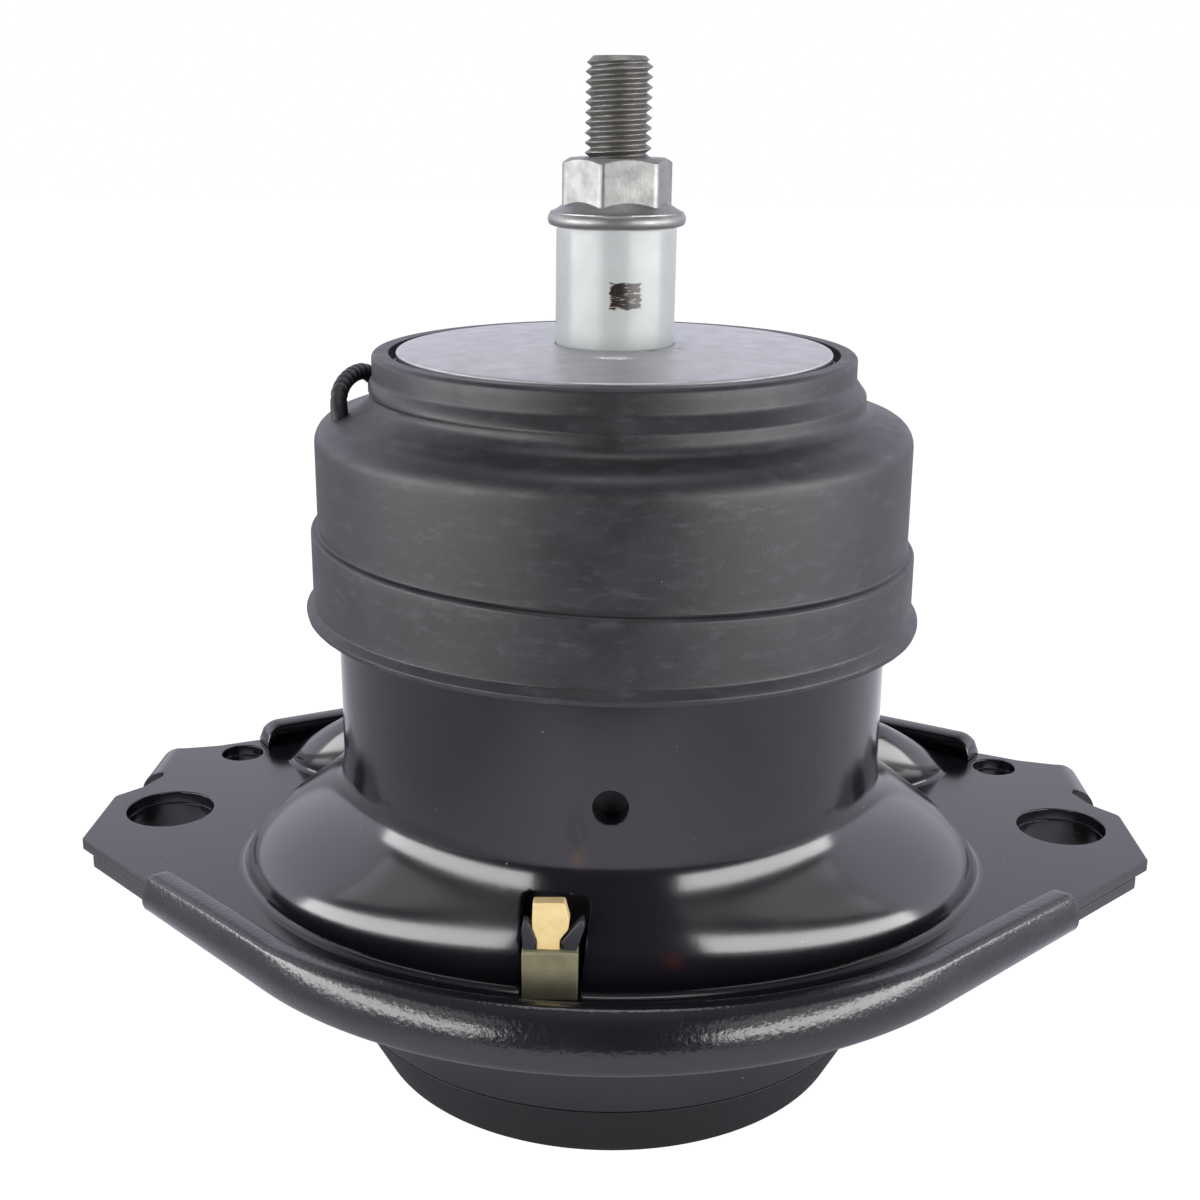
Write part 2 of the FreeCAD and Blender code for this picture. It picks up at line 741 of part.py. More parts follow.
# Bottom cup: moulded cap whose spigot sits in the pot's ledge
def bottom_cup():
    wall = size("sheet")
    foot = minus(pot_radius, size("cup_taper"))
    spigot = minus(ledge_radius, size("cup_play"))
    spigot_inner = minus(spigot, wall)
    spigot_top = plus(size("cup_height"), size("cup_spigot_rise"))
    shelf = minus(size("cup_height"), wall)
    body = turned("bottom_cup", [
        (0, 0),
        (foot, 0),
        (pot_radius, size("cup_height")),
        (spigot, size("cup_height")),
        (spigot, spigot_top),
        (spigot_inner, spigot_top),
        (spigot_inner, shelf),
        (minus(pot_radius, wall, wall), shelf),
        (minus(foot, wall), wall),
        (0, wall),
    ])
    rounded(body, "cup_foot_round", [(foot, 0)], times(0.6, wall))
    return body


# Working parts in the pot
def diaphragm_ring():
    return turned("diaphragm_ring", [
        (clamp_inner, ledge_top),
        (stack_radius, ledge_top),
        (stack_radius, clamp_top),
        (clamp_inner, clamp_top),
    ])


def diaphragm():
    wall = size("diaphragm_wall")
    neck = minus(clamp_inner, size("diaphragm_lip"))
    fold = minus(neck, size("diaphragm_slope"))
    fold_inner = minus(fold, size("diaphragm_fold_width"))
    crown_edge = minus(fold_inner, size("diaphragm_crown_slope"))
    low = minus(rim_top, size("diaphragm_fold"), wall)
    crown = minus(rim_top, times(0.5, size("diaphragm_fold")))
    return turned("diaphragm", [
        (0, minus(crown, wall)),
        (crown_edge, minus(crown, wall)),
        (fold_inner, low),
        (fold, low),
        (neck, minus(rim_top, wall)),
        (clamp_inner, clamp_top),
        (stack_radius, clamp_top),
        (stack_radius, rim_top),
        (minus(neck, wall), rim_top),
        (minus(fold, wall), plus(low, wall)),
        (plus(fold_inner, wall), plus(low, wall)),
        (plus(crown_edge, wall), crown),
        (0, crown),
    ])


def ring_place(circle, turn):
    """Plan place on a circle about the stud's axis."""
    return times(circle, "cos(%s)" % turn), times(circle, "sin(%s)" % turn)


def spaced(alias):
    """Angles of that many equal steps round a full turn."""
    count = round(number(size(alias)))
    return ["(%d * 360 / %d)" % (index, count) for index in range(count)]


channel_radius = minus(stack_radius, size("channel_inset"))
channel_sweep = minus(360, size("channel_gap_angle"))
seal_circle = minus(stack_radius, size("seal_inset"))
rivet_circle = minus(channel_radius, size("rivet_inset"))
rivet_places = [ring_place(rivet_circle, plus(size("rivet_angle"), turn)) for turn in spaced("rivets")]
plug_place = ring_place(rivet_circle, size("plug_angle"))


def channel_disc(name, bottom, seat_on_top):
    """One half of the fluid track: disc, decoupler seat, flow holes and rivet holes."""
    top = plus(bottom, size("channel_plate"))
    if seat_on_top:
        seat = minus(top, size("seat_depth"))
        corners = [(0, bottom), (stack_radius, bottom), (stack_radius, top),
                   (size("seat_radius"), top), (size("seat_radius"), seat), (0, seat)]
    else:
        seat = plus(bottom, size("seat_depth"))
        groove = minus(top, times(2, size("seal_radius")))
        inner = minus(seal_circle, size("seal_radius"))
        outer = plus(seal_circle, size("seal_radius"))
        corners = [(0, seat), (size("seat_radius"), seat), (size("seat_radius"), bottom),
                   (stack_radius, bottom), (stack_radius, top), (outer, top), (outer, groove),
                   (inner, groove), (inner, top), (0, top)]
    disc = turned(name + "_disc", corners)
    pegs = []
    depth = times(2, size("channel_plate"))
    low = minus(bottom, times(0.5, size("channel_plate")))
    for index, turn in enumerate(spaced("flow_holes")):
        place = ring_place(size("flow_hole_circle"), turn) + (low,)
        pegs.append(cylinder("%s_flow_%d" % (name, index), size("flow_hole_radius"), depth, place))
    for index, place in enumerate(rivet_places):
        pegs.append(cylinder("%s_rivet_%d" % (name, index), size("rivet_radius"), depth, place + (low,)))
    pegs.append(cylinder(name + "_fill", size("plug_radius"), depth, plug_place + (low,)))
    port_turn = size("port_angle") if seat_on_top else minus(channel_sweep, size("port_angle"))
    port = ring_place(channel_radius, port_turn) + (low,)
    pegs.append(cylinder(name + "_port", size("port_radius"), depth, port))
    if seat_on_top:
        pegs.append(channel_track(top))
    return cut(name, disc, fused(name + "_holes", pegs))


def channel_track(top):
    """Groove that runs most of the way round, from one port to the other."""
    half = times(0.5, size("channel_width"))
    section = doc.addObject("Sketcher::SketchObject", "track_section")
    low = minus(top, size("channel_depth"))
    high = plus(top, size("fit"))
    draw(section, [
        (minus(channel_radius, half), low),
        (plus(channel_radius, half), low),
        (plus(channel_radius, half), high),
        (minus(channel_radius, half), high),
    ])
    section.Placement = Placement(Vector(0, 0, 0), Rotation(Vector(1, 0, 0), 90))
    section.Visibility = False
    track = doc.addObject("Part::Revolution", "channel_track")
    track.Source = section
    track.Axis = Vector(0, 0, 1)
    track.setExpression("Angle", channel_sweep)
    track.Solid = True
    return track


def channel_rivets():
    """Rivets that hold the two channel plates together, one group of equal pieces."""
    pieces = []
    length = minus(channel_top, rim_top)
    head, head_radius = size("rivet_head"), size("rivet_head_radius")
    for index, (x, y) in enumerate(rivet_places):
        pieces.append(cylinder("rivet_shank_%d" % index, size("rivet_radius"), length, (x, y, rim_top)))
        pieces.append(cylinder("rivet_top_%d" % index, head_radius, head, (x, y, channel_top)))
        pieces.append(cylinder("rivet_low_%d" % index, head_radius, head, (x, y, minus(rim_top, head))))
    return fused("channel_rivets", pieces)


def fill_plug():
    x, y = plug_place
    head = size("plug_head")
    shank = cylinder("plug_shank", size("plug_radius"), minus(channel_top, rim_top), (x, y, rim_top))
    disc = cylinder("plug_disc", size("plug_head_radius"), head, (x, y, minus(rim_top, head)))
    return fused("fill_plug", [shank, disc])


def decoupler():
    radius = minus(size("seat_radius"), size("decoupler_play"))
    low = plus(minus(channel_middle, size("seat_depth")), size("decoupler_play"))
    high = minus(plus(channel_middle, size("seat_depth")), size("decoupler_play"))
    body = turned("decoupler", [(0, low), (radius, low), (radius, high), (0, high)])
    rounded(body, "decoupler_round", [(radius, low), (radius, high)], times(0.3, size("seat_depth")))
    return body


def seal_ring():
    ring = doc.addObject("Part::Torus", "seal_ring")
    ring.setExpression("Radius1", seal_circle)
    ring.setExpression("Radius2", size("seal_radius"))
    ring.setExpression("Placement.Base.z", minus(channel_top, size("seal_radius")))
    return ring


# Spring unit: shell pressed into the canister, rubber bonded between it and the core
def spring_shell():
    tube = turned("shell_tube", [
        (shell_inner, channel_top),
        (shell_outer, channel_top),
        (shell_outer, crimp_under),
        (shell_inner, crimp_under),
    ])
    return cut("spring_shell", tube, front_drill("shell_drill"))


core_neck = minus(core_under, size("core_neck_drop"))
core_neck_radius = minus(flange_radius, size("core_neck_step"))
core_foot = minus(core_top, size("core_depth"))


def core_cone_radius(height):
    """Radius of the core's cone at a height between its foot and its neck."""
    slope = "(%s - %s) / (%s - %s)" % (core_neck_radius, size("core_foot_radius"), core_neck, core_foot)
    return plus(size("core_foot_radius"), "(%s - %s) * %s" % (height, core_foot, slope))


def core():
    seat = minus(core_top, size("stud_seat"))
    neck_flare = plus(core_neck_radius, size("core_neck_drop"))
    step = minus(core_top, size("core_step"))
    counterbore = plus(size("sleeve_radius"), size("fit"))
    return turned("core", [
        (0, core_foot),
        (size("core_foot_radius"), core_foot),
        (core_neck_radius, core_neck),
        (neck_flare, core_under),
        (flange_radius, core_under),
        (flange_radius, step),
        (core_radius, step),
        (core_radius, core_top),
        (counterbore, core_top),
        (counterbore, sleeve_foot),
        (size("stud_radius"), sleeve_foot),
        (size("stud_radius"), seat),
        (0, seat),
    ])


def main_spring():
    bond_top = minus(crimp_under, size("spring_top_drop"))
    bond_foot = minus(bond_top, size("spring_bond"))
    neck = minus(core_top, size("spring_neck_drop"))
    cover = minus(core_foot, size("spring_cover"))
    return turned("main_spring", [
        (0, cover),
        (size("core_foot_radius"), cover),
        (minus(shell_inner, size("spring_foot_reach")), plus(bond_foot, size("spring_foot_rise"))),
        (shell_inner, bond_foot),
        (shell_inner, bond_top),
        (minus(shell_inner, size("spring_top_reach")), bond_top),
        (plus(core_cone_radius(neck), size("spring_neck_cover")), neck),
        (core_cone_radius(neck), neck),
        (size("core_foot_radius"), core_foot),
        (0, core_foot),
    ])


def bump_ring():
    top = plus(canister_top, size("bump_height"))
    outer = minus(size("canister_radius"), size("bump_inset"))
    inner = minus(outer, size("bump_width"))
    body = turned("bump_ring", [(inner, canister_top), (outer, canister_top), (outer, top), (inner, top)])
    rounded(body, "bump_round", [(outer, top), (inner, top)], times(0.25, size("bump_width")))
    return body


# Rubber boot: collar round the core's flange, bead, sloped shoulder, wall, band and lip
boot_rim = plus(flange_radius, size("boot_rim_wall"))
boot_groove = plus(boot_rim, size("boot_groove"))
boot_collar = minus(core_top, size("boot_collar"))
boot_bead_top = minus(boot_collar, size("boot_collar_slope"))
boot_bead = minus(boot_bead_top, size("boot_bead_height"))
groove_height = minus(boot_bead, size("boot_bead_under"))


def boot():
    slope = size("shoulder_angle")
    bend = size("shoulder_radius")
    bend_x = minus(boot_radius, bend)
    slope_x = plus(bend_x, times(bend, "sin(%s)" % slope))
    slope_z = minus(groove_height, times(minus(slope_x, boot_groove), "tan(%s)" % slope))
    bend_z = minus(slope_z, times(bend, "cos(%s)" % slope))
    skirt = minus(core_top, size("boot_skirt"))
    band_top = plus(skirt, size("boot_band"))
    band = plus(boot_radius, size("boot_band_step"))
    lip = plus(band, size("boot_lip_step"))
    hook = minus(flange_radius, size("boot_hook_width"))
    hook_under = minus(core_under, size("boot_hook"))
    body = turned("boot", [
        (boot_rim, core_top),
        (flange_radius, core_top),
        (flange_radius, core_under),
        (hook, core_under),
        (hook, hook_under),
        (minus(boot_inner, size("boot_shelf")), minus(hook_under, size("boot_hook_slope"))),
        (boot_inner, minus(plus(bend_z, bend), size("shoulder_wall"))),
        (boot_inner, skirt),
        (minus(lip, size("boot_lip_bevel")), skirt),
        (lip, plus(skirt, size("boot_lip"))),
        (band, plus(skirt, times(2.5, size("boot_lip")))),
        (band, band_top),
        (boot_radius, band_top),
        (boot_radius, bend_z, bend, bend_x, bend_z, 1),
        (slope_x, slope_z),
        (boot_groove, groove_height),
        (plus(boot_rim, size("boot_bead")), boot_bead),
        (plus(boot_rim, size("boot_bead")), boot_bead_top),
        (boot_rim, boot_collar),
    ])
    rounded(body, "rim_round", [(boot_rim, core_top)], size("boot_rim_round"))
    return body


def boot_tether(carrier):
    """Arched cord on the boot's shoulder, round the collar on the left; it ends on the rubber."""
    circle = number(minus(boot_radius, size("tether_inset")))
    bend, root = number(size("tether_bend")), number(size("tether_root"))
    foot = number(groove_height) - root
    up = Vector(0, 0, 1)
    start = Rotation(up, number(size("tether_start_angle"))).multVec(Vector(circle, 0, foot))
    end = Rotation(up, number(size("tether_end_angle"))).multVec(Vector(circle, 0, foot))
    along = (end - start).normalize()
    stem = up * (root + number(size("tether_rise")) - bend)
    middle = bend * 0.5 ** 0.5
    first_bend = start + stem + along * (bend - middle) + up * middle
    last_bend = end + stem - along * (bend - middle) + up * middle
    top_start, top_end = start + stem + (along + up) * bend, end + stem + (up - along) * bend
    path = Part.Wire([
        Part.LineSegment(start, start + stem).toShape(),
        Part.Arc(start + stem, first_bend, top_start).toShape(),
        Part.LineSegment(top_start, top_end).toShape(),
        Part.Arc(top_end, last_bend, end + stem).toShape(),
        Part.LineSegment(end + stem, end).toShape(),
    ])
    ring = Part.Wire([Part.Circle(start, up, number(size("tether_radius"))).toShape()])
    tether = doc.addObject("Part::Feature", "boot_tether")
    tether.Shape = path.makePipeShell([ring], True, True).cut(carrier.Shape)
    return tether


# Fixing hardware on the core
thread_root = minus(size("stud_radius"), size("thread_depth"))


def stud():
    """Stud at the thread's crests, but at its roots inside the nut."""
    bottom = minus(core_top, size("stud_seat"))
    chamfer = size("stud_chamfer")
    thread_start = plus(nut_top, size("thread_start"))
    return turned("stud", [
        (0, bottom),
        (size("stud_radius"), bottom),
        (size("stud_radius"), sleeve_top),
        (thread_root, sleeve_top),
        (thread_root, thread_start),
        (size("stud_radius"), thread_start),
        (size("stud_radius"), minus(stud_top, chamfer)),
        (minus(size("stud_radius"), chamfer), stud_top),
        (0, stud_top),
    ])


def spacer_sleeve():
    bore = plus(size("stud_radius"), size("sleeve_play"))
    return turned("spacer_sleeve", [
        (bore, sleeve_foot),
        (size("sleeve_radius"), sleeve_foot),
        (size("sleeve_radius"), sleeve_top),
        (bore, sleeve_top),
    ])


def flange_nut():
    """Hexagon nut with a conical flange, bored to the thread's roots."""
    hexagon = doc.addObject("Part::Prism", "nut_hexagon")
    hexagon.Polygon = 6
    hexagon.setExpression("Circumradius", "%s / 2 / cos(30)" % size("nut_flats"))
    hexagon.setExpression("Height", size("nut_height"))
    hexagon.setExpression("Placement.Base.z", sleeve_top)
    hexagon.Placement.Rotation = Rotation(Vector(0, 0, 1), number(size("nut_angle")))
    half_flats = times(0.5, size("nut_flats"))
    corner = plus(half_flats + " / cos(30)", size("fit"))
    bevel = turned("nut_bevel_envelope", [
        (0, sleeve_top),
        (corner, sleeve_top),
        (corner, minus(nut_top, size("nut_bevel"))),
        (minus(half_flats, size("fit")), nut_top),
        (0, nut_top),
    ])
    crown = doc.addObject("Part::Common", "nut_crown")
    crown.Base = hexagon
    crown.Tool = bevel
    disc_top = plus(sleeve_top, size("nut_flange"))
    cone_top = plus(disc_top, size("nut_flange_cone"))
    flange = turned("nut_flange_disc", [
        (0, sleeve_top),
        (size("nut_flange_radius"), sleeve_top),
        (size("nut_flange_radius"), disc_top),
        (minus(half_flats, size("fit")), cone_top),
        (0, cone_top),
    ])
    bore = cylinder("nut_bore", thread_root, times(2, size("nut_height")),
                    (0, 0, minus(sleeve_top, times(0.5, size("nut_height")))))
    return cut("flange_nut", fused("nut_solid", [crown, flange]), bore)


# Moulded clip in the bell's front window
clip_top = plus(plate_top, size("clip_height"))
clip_front = plus(bell_depth, size("clip_stand"))
clip_left = minus(size("fit"), size("window_left"))
clip_right = minus(times(-1, size("window_right")), size("clip_gap"))
tongue_left = minus(size("tongue_gap"), size("window_left"))
tongue_right = plus(tongue_left, size("tongue_width"))
neck_left = plus(tongue_left, size("tongue_inset"))
neck_right = plus(neck_left, size("neck_width"))
neck_top = plus(clip_top, size("neck_height"))


def clip_block():
    depth = minus(clip_front, shell_outer, size("fit"))
    return box("clip_block", [minus(clip_right, clip_left), depth, size("clip_height")],
               (clip_left, times(-1, clip_front), plate_top))


def upright_plate(name, corners, depth):
    """Small plate cut to an outline in X and Z, set back from the clip's front face."""
    outline = doc.addObject("Sketcher::SketchObject", name + "_outline")
    draw(outline, corners)
    outline.Placement = Placement(Vector(0, 0, 0), Rotation(Vector(1, 0, 0), 90))
    outline.setExpression("Placement.Base.y", minus(size("tongue_setback"), clip_front))
    outline.Visibility = False
    return extruded(name, outline, Vector(0, 1, 0), depth)


def clip_tongue():
    bulge = plus(tongue_right, size("tongue_bulge"))
    bulge_low = plus(neck_top, size("neck_slope"))
    bulge_high = plus(bulge_low, size("bulge_height"))
    top = plus(clip_top, size("tongue_height"))
    return upright_plate("clip_tongue", [
        (neck_left, clip_top),
        (neck_right, clip_top),
        (neck_right, neck_top),
        (bulge, bulge_low),
        (bulge, bulge_high),
        (tongue_right, top),
        (tongue_left, top),
        (tongue_left, bulge_low),
        (neck_left, neck_top),
    ], size("tongue_depth"))


def clip_hook_left():
    edge = minus(tongue_left, size("hook_gap"))
    return upright_plate("clip_hook_left", [
        (clip_left, clip_top),
        (plus(edge, size("hook_foot")), clip_top),
        (edge, plus(clip_top, size("hook_foot_height"))),
        (clip_left, plus(clip_top, size("hook_height"))),
    ], size("hook_depth"))


def clip_hook_right():
    edge = plus(neck_right, size("hook_gap"))
    bulge = plus(tongue_right, size("tongue_bulge"), size("hook_gap"))
    outer = minus(times(-1, size("window_right")), size("fit"))
    shoulder = plus(clip_top, size("hook_shoulder"))
    return upright_plate("clip_hook_right", [
        (edge, clip_top),
        (clip_right, clip_top),
        (outer, shoulder),
        (outer, plus(clip_top, size("hook_height"))),
        (bulge, shoulder),
        (edge, plus(clip_top, size("hook_foot_height"))),
    ], size("hook_depth"))


rubber_boot = boot()
doc.recompute()

parts = [
    upper_housing(), lower_plate(), bottom_cup(),
    diaphragm_ring(), diaphragm(), channel_disc("channel_plate_lower", rim_top, True),
    channel_disc("channel_plate_upper", channel_middle, False), channel_rivets(), fill_plug(),
    decoupler(), seal_ring(), spring_shell(), core(), main_spring(), bump_ring(), rubber_boot,
    boot_tether(rubber_boot), stud(), spacer_sleeve(), flange_nut(), clip_block(), clip_tongue(),
    clip_hook_left(), clip_hook_right(),
]

doc.recompute()

problems = []
for feature in doc.Objects:
    if "Invalid" in feature.State or "Error" in feature.State:
        problems.append("%s is %s" % (feature.Name, feature.State))
for part in parts:
    if part.Shape.isNull() or not part.Shape.isValid() or not part.Shape.Solids:
        problems.append("%s has no valid solid" % part.Label)
if problems:
    raise RuntimeError("; ".join(problems))

os.makedirs("parts", exist_ok=True)
for part in parts:
    part.Label = part.Name
    part.Shape.exportStep(os.path.join("parts", part.Label + ".step"))
    volume = part.Shape.Volume
    print("%-22s solids %d  volume %.1f mm3" % (part.Label, len(part.Shape.Solids), volume))
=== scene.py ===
import math

import bmesh
import bpy
import numpy as np
from mathutils import Matrix, Vector


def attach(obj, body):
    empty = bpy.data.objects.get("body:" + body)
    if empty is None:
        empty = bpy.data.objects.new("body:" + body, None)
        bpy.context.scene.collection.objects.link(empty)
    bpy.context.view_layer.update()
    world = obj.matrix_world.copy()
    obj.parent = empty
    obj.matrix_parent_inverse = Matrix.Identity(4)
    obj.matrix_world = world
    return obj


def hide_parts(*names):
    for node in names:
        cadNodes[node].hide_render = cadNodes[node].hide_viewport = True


# Hydraulic engine mount on a pale table. All sizes below are in millimetres.
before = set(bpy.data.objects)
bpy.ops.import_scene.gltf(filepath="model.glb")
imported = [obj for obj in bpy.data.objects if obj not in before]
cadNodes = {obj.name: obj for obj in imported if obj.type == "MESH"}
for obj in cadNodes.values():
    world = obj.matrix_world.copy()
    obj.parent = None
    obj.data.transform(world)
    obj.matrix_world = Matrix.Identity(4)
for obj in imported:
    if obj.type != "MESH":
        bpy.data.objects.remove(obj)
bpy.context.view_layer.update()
scene = bpy.context.scene
mm = 0.001
print("frame loaded:", len(cadNodes), "nodes")


def linear(hexColour):
    # sRGB hex to the linear values that shaders take
    shares = np.array([int(hexColour[i:i + 2], 16) for i in (1, 3, 5)]) / 255
    values = np.where(shares <= 0.04045, shares / 12.92, ((shares + 0.055) / 1.055) ** 2.4)
    return (*values.tolist(), 1.0)


def addNode(tree, kind, inputs=None, output=0, **settings):
    # one shader node with its settings and links; an input is a plain value or another node's
    # output, and the named output comes back (the node itself for None)
    node = tree.nodes.new("ShaderNode" + kind)
    for name, value in settings.items():
        setattr(node, name, value)
    for name, value in (inputs or {}).items():
        if isinstance(value, bpy.types.NodeSocket):
            tree.links.new(value, node.inputs[name])
        else:
            node.inputs[name].default_value = value
    return node.outputs[output] if output is not None and len(node.outputs) else node


def roundedLine(corners, steps=6):
    # line through (a, b, radius) corners, where each corner with a radius becomes an arc that
    # touches both runs: centre on the bisector at radius / sin(half turn)
    points = [np.array([corners[0][:2]], float)]
    for before, corner, after in zip(corners, corners[1:], corners[2:]):
        here = np.array(corner[:2], float)
        radius = corner[2] if len(corner) > 2 else 0
        if not radius:
            points.append(here[None])
            continue
        back, ahead = np.array(before[:2]) - here, np.array(after[:2]) - here
        back, ahead = back / np.linalg.norm(back), ahead / np.linalg.norm(ahead)
        turn = math.acos(float(np.clip(back @ ahead, -1, 1)))
        middle = (back + ahead) / np.linalg.norm(back + ahead)
        centre = here + middle * radius / math.sin(turn / 2)
        start = here + back * radius / math.tan(turn / 2) - centre
        end = here + ahead * radius / math.tan(turn / 2) - centre
        share, sweep = np.linspace(0, 1, steps + 1)[:, None], math.pi - turn
        arc = np.sin((1 - share) * sweep) * start + np.sin(share * sweep) * end
        points.append(centre + arc / math.sin(sweep))
    points.append(np.array([corners[-1][:2]], float))
    return np.vstack(points)


def roundedRing(corners):
    # the same for a closed outline: corners are repeated past both ends, then the ends dropped
    return roundedLine([corners[-1]] + corners + [corners[0]], 4)[1:-1]


def refined(line, longest):
    # extra points on every run longer than that, evenly spaced
    spans = np.linalg.norm(np.diff(line, axis=0), axis=1)
    counts = np.maximum(np.ceil(spans / longest).astype(int), 1)
    pieces = [np.linspace(a, b, n, endpoint=False) for a, b, n in zip(line, line[1:], counts)]
    return np.vstack(pieces + [line[-1:]])


def gridFaces(rows, columns, closedRows=False, closedColumns=True):
    # quads between neighbouring points of a grid stored row by row
    i = np.arange(rows if closedRows else rows - 1)[:, None]
    j = np.arange(columns if closedColumns else columns - 1)[None, :]
    below, beside = (i + 1) % rows, (j + 1) % columns
    quads = np.stack([i * columns + j + 0 * below, i * columns + beside,
                      below * columns + beside, below * columns + j], -1)
    return quads.reshape(-1, 4)


def cappedFaces(rows, columns):
    # a tube's quads with one face over each end
    faces = gridFaces(rows, columns).tolist()
    return faces + [list(range(columns)), list(range((rows - 1) * columns, rows * columns))]


def polar(radius, turns, height):
    # points at x = r cos t, y = r sin t
    return np.stack([radius * np.cos(turns), radius * np.sin(turns), height], -1)


def wavy(turns, seed, waves):
    # smooth closed noise round a ring, about -1 to 1: a few sines with seeded phases
    random = np.random.default_rng(seed)
    total = np.zeros_like(turns)
    for wave in waves:
        total = total + np.sin(wave * turns + random.uniform(0, 2 * math.pi)) * random.uniform(0.5, 1)
    return total / len(waves)


def makePiece(name, points, faces, material, crease=35, seal=True):
    # mesh from points in millimetres; doubles merged, faces turned outwards, sharp edges kept
    mesh = bpy.data.meshes.new(name)
    points = np.asarray(points, float).reshape(-1, 3) * mm
    mesh.from_pydata(points.tolist(), [], [list(face) for face in faces])
    return finishMesh(name, mesh, material, crease, seal)


def finishMesh(name, mesh, material, crease=35, seal=True):
    form = bmesh.new()
    form.from_mesh(mesh)
    bmesh.ops.remove_doubles(form, verts=form.verts, dist=0.002 * mm)
    bmesh.ops.dissolve_degenerate(form, edges=form.edges, dist=0.001 * mm)
    if seal:
        bmesh.ops.recalc_face_normals(form, faces=form.faces)
    form.to_mesh(mesh)
    form.free()
    mesh.polygons.foreach_set("use_smooth", np.ones(len(mesh.polygons), bool))
    if crease:
        mesh.set_sharp_from_angle(angle=math.radians(crease))
    mesh.materials.clear()
    mesh.materials.append(material)
    piece = bpy.data.objects.new(name, mesh)
    scene.collection.objects.link(piece)
    return piece


def turnOutwards(piece, outward):
    # an open sheet's faces are turned by the side that looks away, on average
    form = bmesh.new()
    form.from_mesh(piece.data)
    bmesh.ops.delete(form, geom=[vert for vert in form.verts if not vert.link_faces], context="VERTS")
    bmesh.ops.recalc_face_normals(form, faces=form.faces)
    if sum(face.normal.dot(outward(face)) for face in form.faces) < 0:
        bmesh.ops.reverse_faces(form, faces=form.faces)
    form.to_mesh(piece.data)
    form.free()


def turnedPiece(name, profile, material, columns=192, closed=False, shape=None):
    # a profile (radius, height) carried round Z
    turns = np.arange(columns) * 2 * math.pi / columns
    radius = np.repeat(profile[:, :1], columns, axis=1)
    height = np.repeat(profile[:, 1:], columns, axis=1)
    if shape:
        radius, height = shape(radius, height, turns[None, :])
    faces = gridFaces(len(profile), columns, closed)
    return makePiece(name, polar(radius, turns, height), faces, material)


def cutPiece(name, rings, low, high, edge, material, upright=False):
    # flat piece from closed outlines (the first is outside, the others are holes), with a rounded
    # edge; it lies flat between two heights, or stands with its outline in X and Z when upright
    curve = bpy.data.curves.new(name, "CURVE")
    curve.dimensions, curve.fill_mode = "2D", "BOTH"
    for ring in rings:
        spline = curve.splines.new("POLY")
        spline.points.add(len(ring) - 1)
        points = np.column_stack([ring * mm, np.zeros(len(ring)), np.ones(len(ring))])
        spline.points.foreach_set("co", points.ravel())
        spline.use_cyclic_u = True
    curve.extrude, curve.bevel_depth = ((high - low) / 2 - edge) * mm, edge * mm
    curve.bevel_resolution, curve.offset = 2, -edge * mm
    holder = bpy.data.objects.new(name + "Outline", curve)
    scene.collection.objects.link(holder)
    bpy.context.view_layer.update()
    mesh = bpy.data.meshes.new_from_object(holder.evaluated_get(bpy.context.evaluated_depsgraph_get()))
    mesh.name = name
    bpy.data.objects.remove(holder)
    middle = (high + low) / 2 * mm
    if upright:
        mesh.transform(Matrix(((1, 0, 0, 0), (0, 0, 1, middle), (0, 1, 0, 0), (0, 0, 0, 1))))
    else:
        mesh.transform(Matrix.Translation((0, 0, middle)))
    piece = finishMesh(name, mesh, material)
    flat = piece.modifiers.new("flat", "WEIGHTED_NORMAL")
    flat.weight, flat.keep_sharp = 100, True
    applyAll(piece)
    return piece


def thicken(piece, depth, edge=0.0):
    # wall inwards from the surface, then a small round on its rims, both applied
    wall = piece.modifiers.new("wall", "SOLIDIFY")
    wall.thickness, wall.offset, wall.use_even_offset = depth * mm, -1, True
    if edge:
        rim = piece.modifiers.new("rim", "BEVEL")
        rim.width, rim.segments, rim.limit_method, rim.angle_limit = edge * mm, 2, "ANGLE", math.radians(55)
    applyAll(piece)
    return piece


def applyAll(piece):
    bpy.context.view_layer.update()
    mesh = bpy.data.meshes.new_from_object(piece.evaluated_get(bpy.context.evaluated_depsgraph_get()))
    piece.modifiers.clear()
    piece.data = mesh
    mesh.name = piece.name


def joined(name, pieces):
    # one object from several meshes of the same material
    form = bmesh.new()
    for piece in pieces:
        form.from_mesh(piece.data)
    mesh = bpy.data.meshes.new(name)
    form.to_mesh(mesh)
    form.free()
    mesh.materials.append(pieces[0].data.materials[0])
    for piece in pieces:
        bpy.data.objects.remove(piece)
    whole = bpy.data.objects.new(name, mesh)
    scene.collection.objects.link(whole)
    return whole


# Finishes. Each one is a colour clouded towards a second one, a roughness that follows it, a fine
# bump and, where the photo shows them, dust and marks of its own. A function of marks gives back its
# stains and painted shade, each one a cover from 0 to 1 and a colour, with the roughness and the normal it changed.
def specks(tree, place, cell, width):
    # sparse small dots: near a random point of a grid of cells, and only in a fifth of the cells
    dots = addNode(tree, "TexVoronoi", {"Vector": place, "Scale": 1 / (cell * mm)}, None)
    near = addNode(tree, "MapRange", {
        "Value": dots.outputs["Distance"], "From Min": width / cell, "From Max": 0.4 * width / cell})
    chance = addNode(tree, "SeparateColor", {0: dots.outputs["Color"]})
    chosen = addNode(tree, "MapRange", {"Value": chance, "From Min": 0.8, "From Max": 0.82})
    return addNode(tree, "Math", {0: near, 1: chosen}, operation="MULTIPLY")


def fromMiddle(tree, place, middle, reach):
    # offset from a point, in shares of a reach along X, Y and Z
    offset = addNode(tree, "VectorMath", {0: place, 1: [value * mm for value in middle]}, operation="SUBTRACT")
    return addNode(tree, "VectorMath", {0: offset, 1: [value * mm for value in reach]}, operation="DIVIDE")


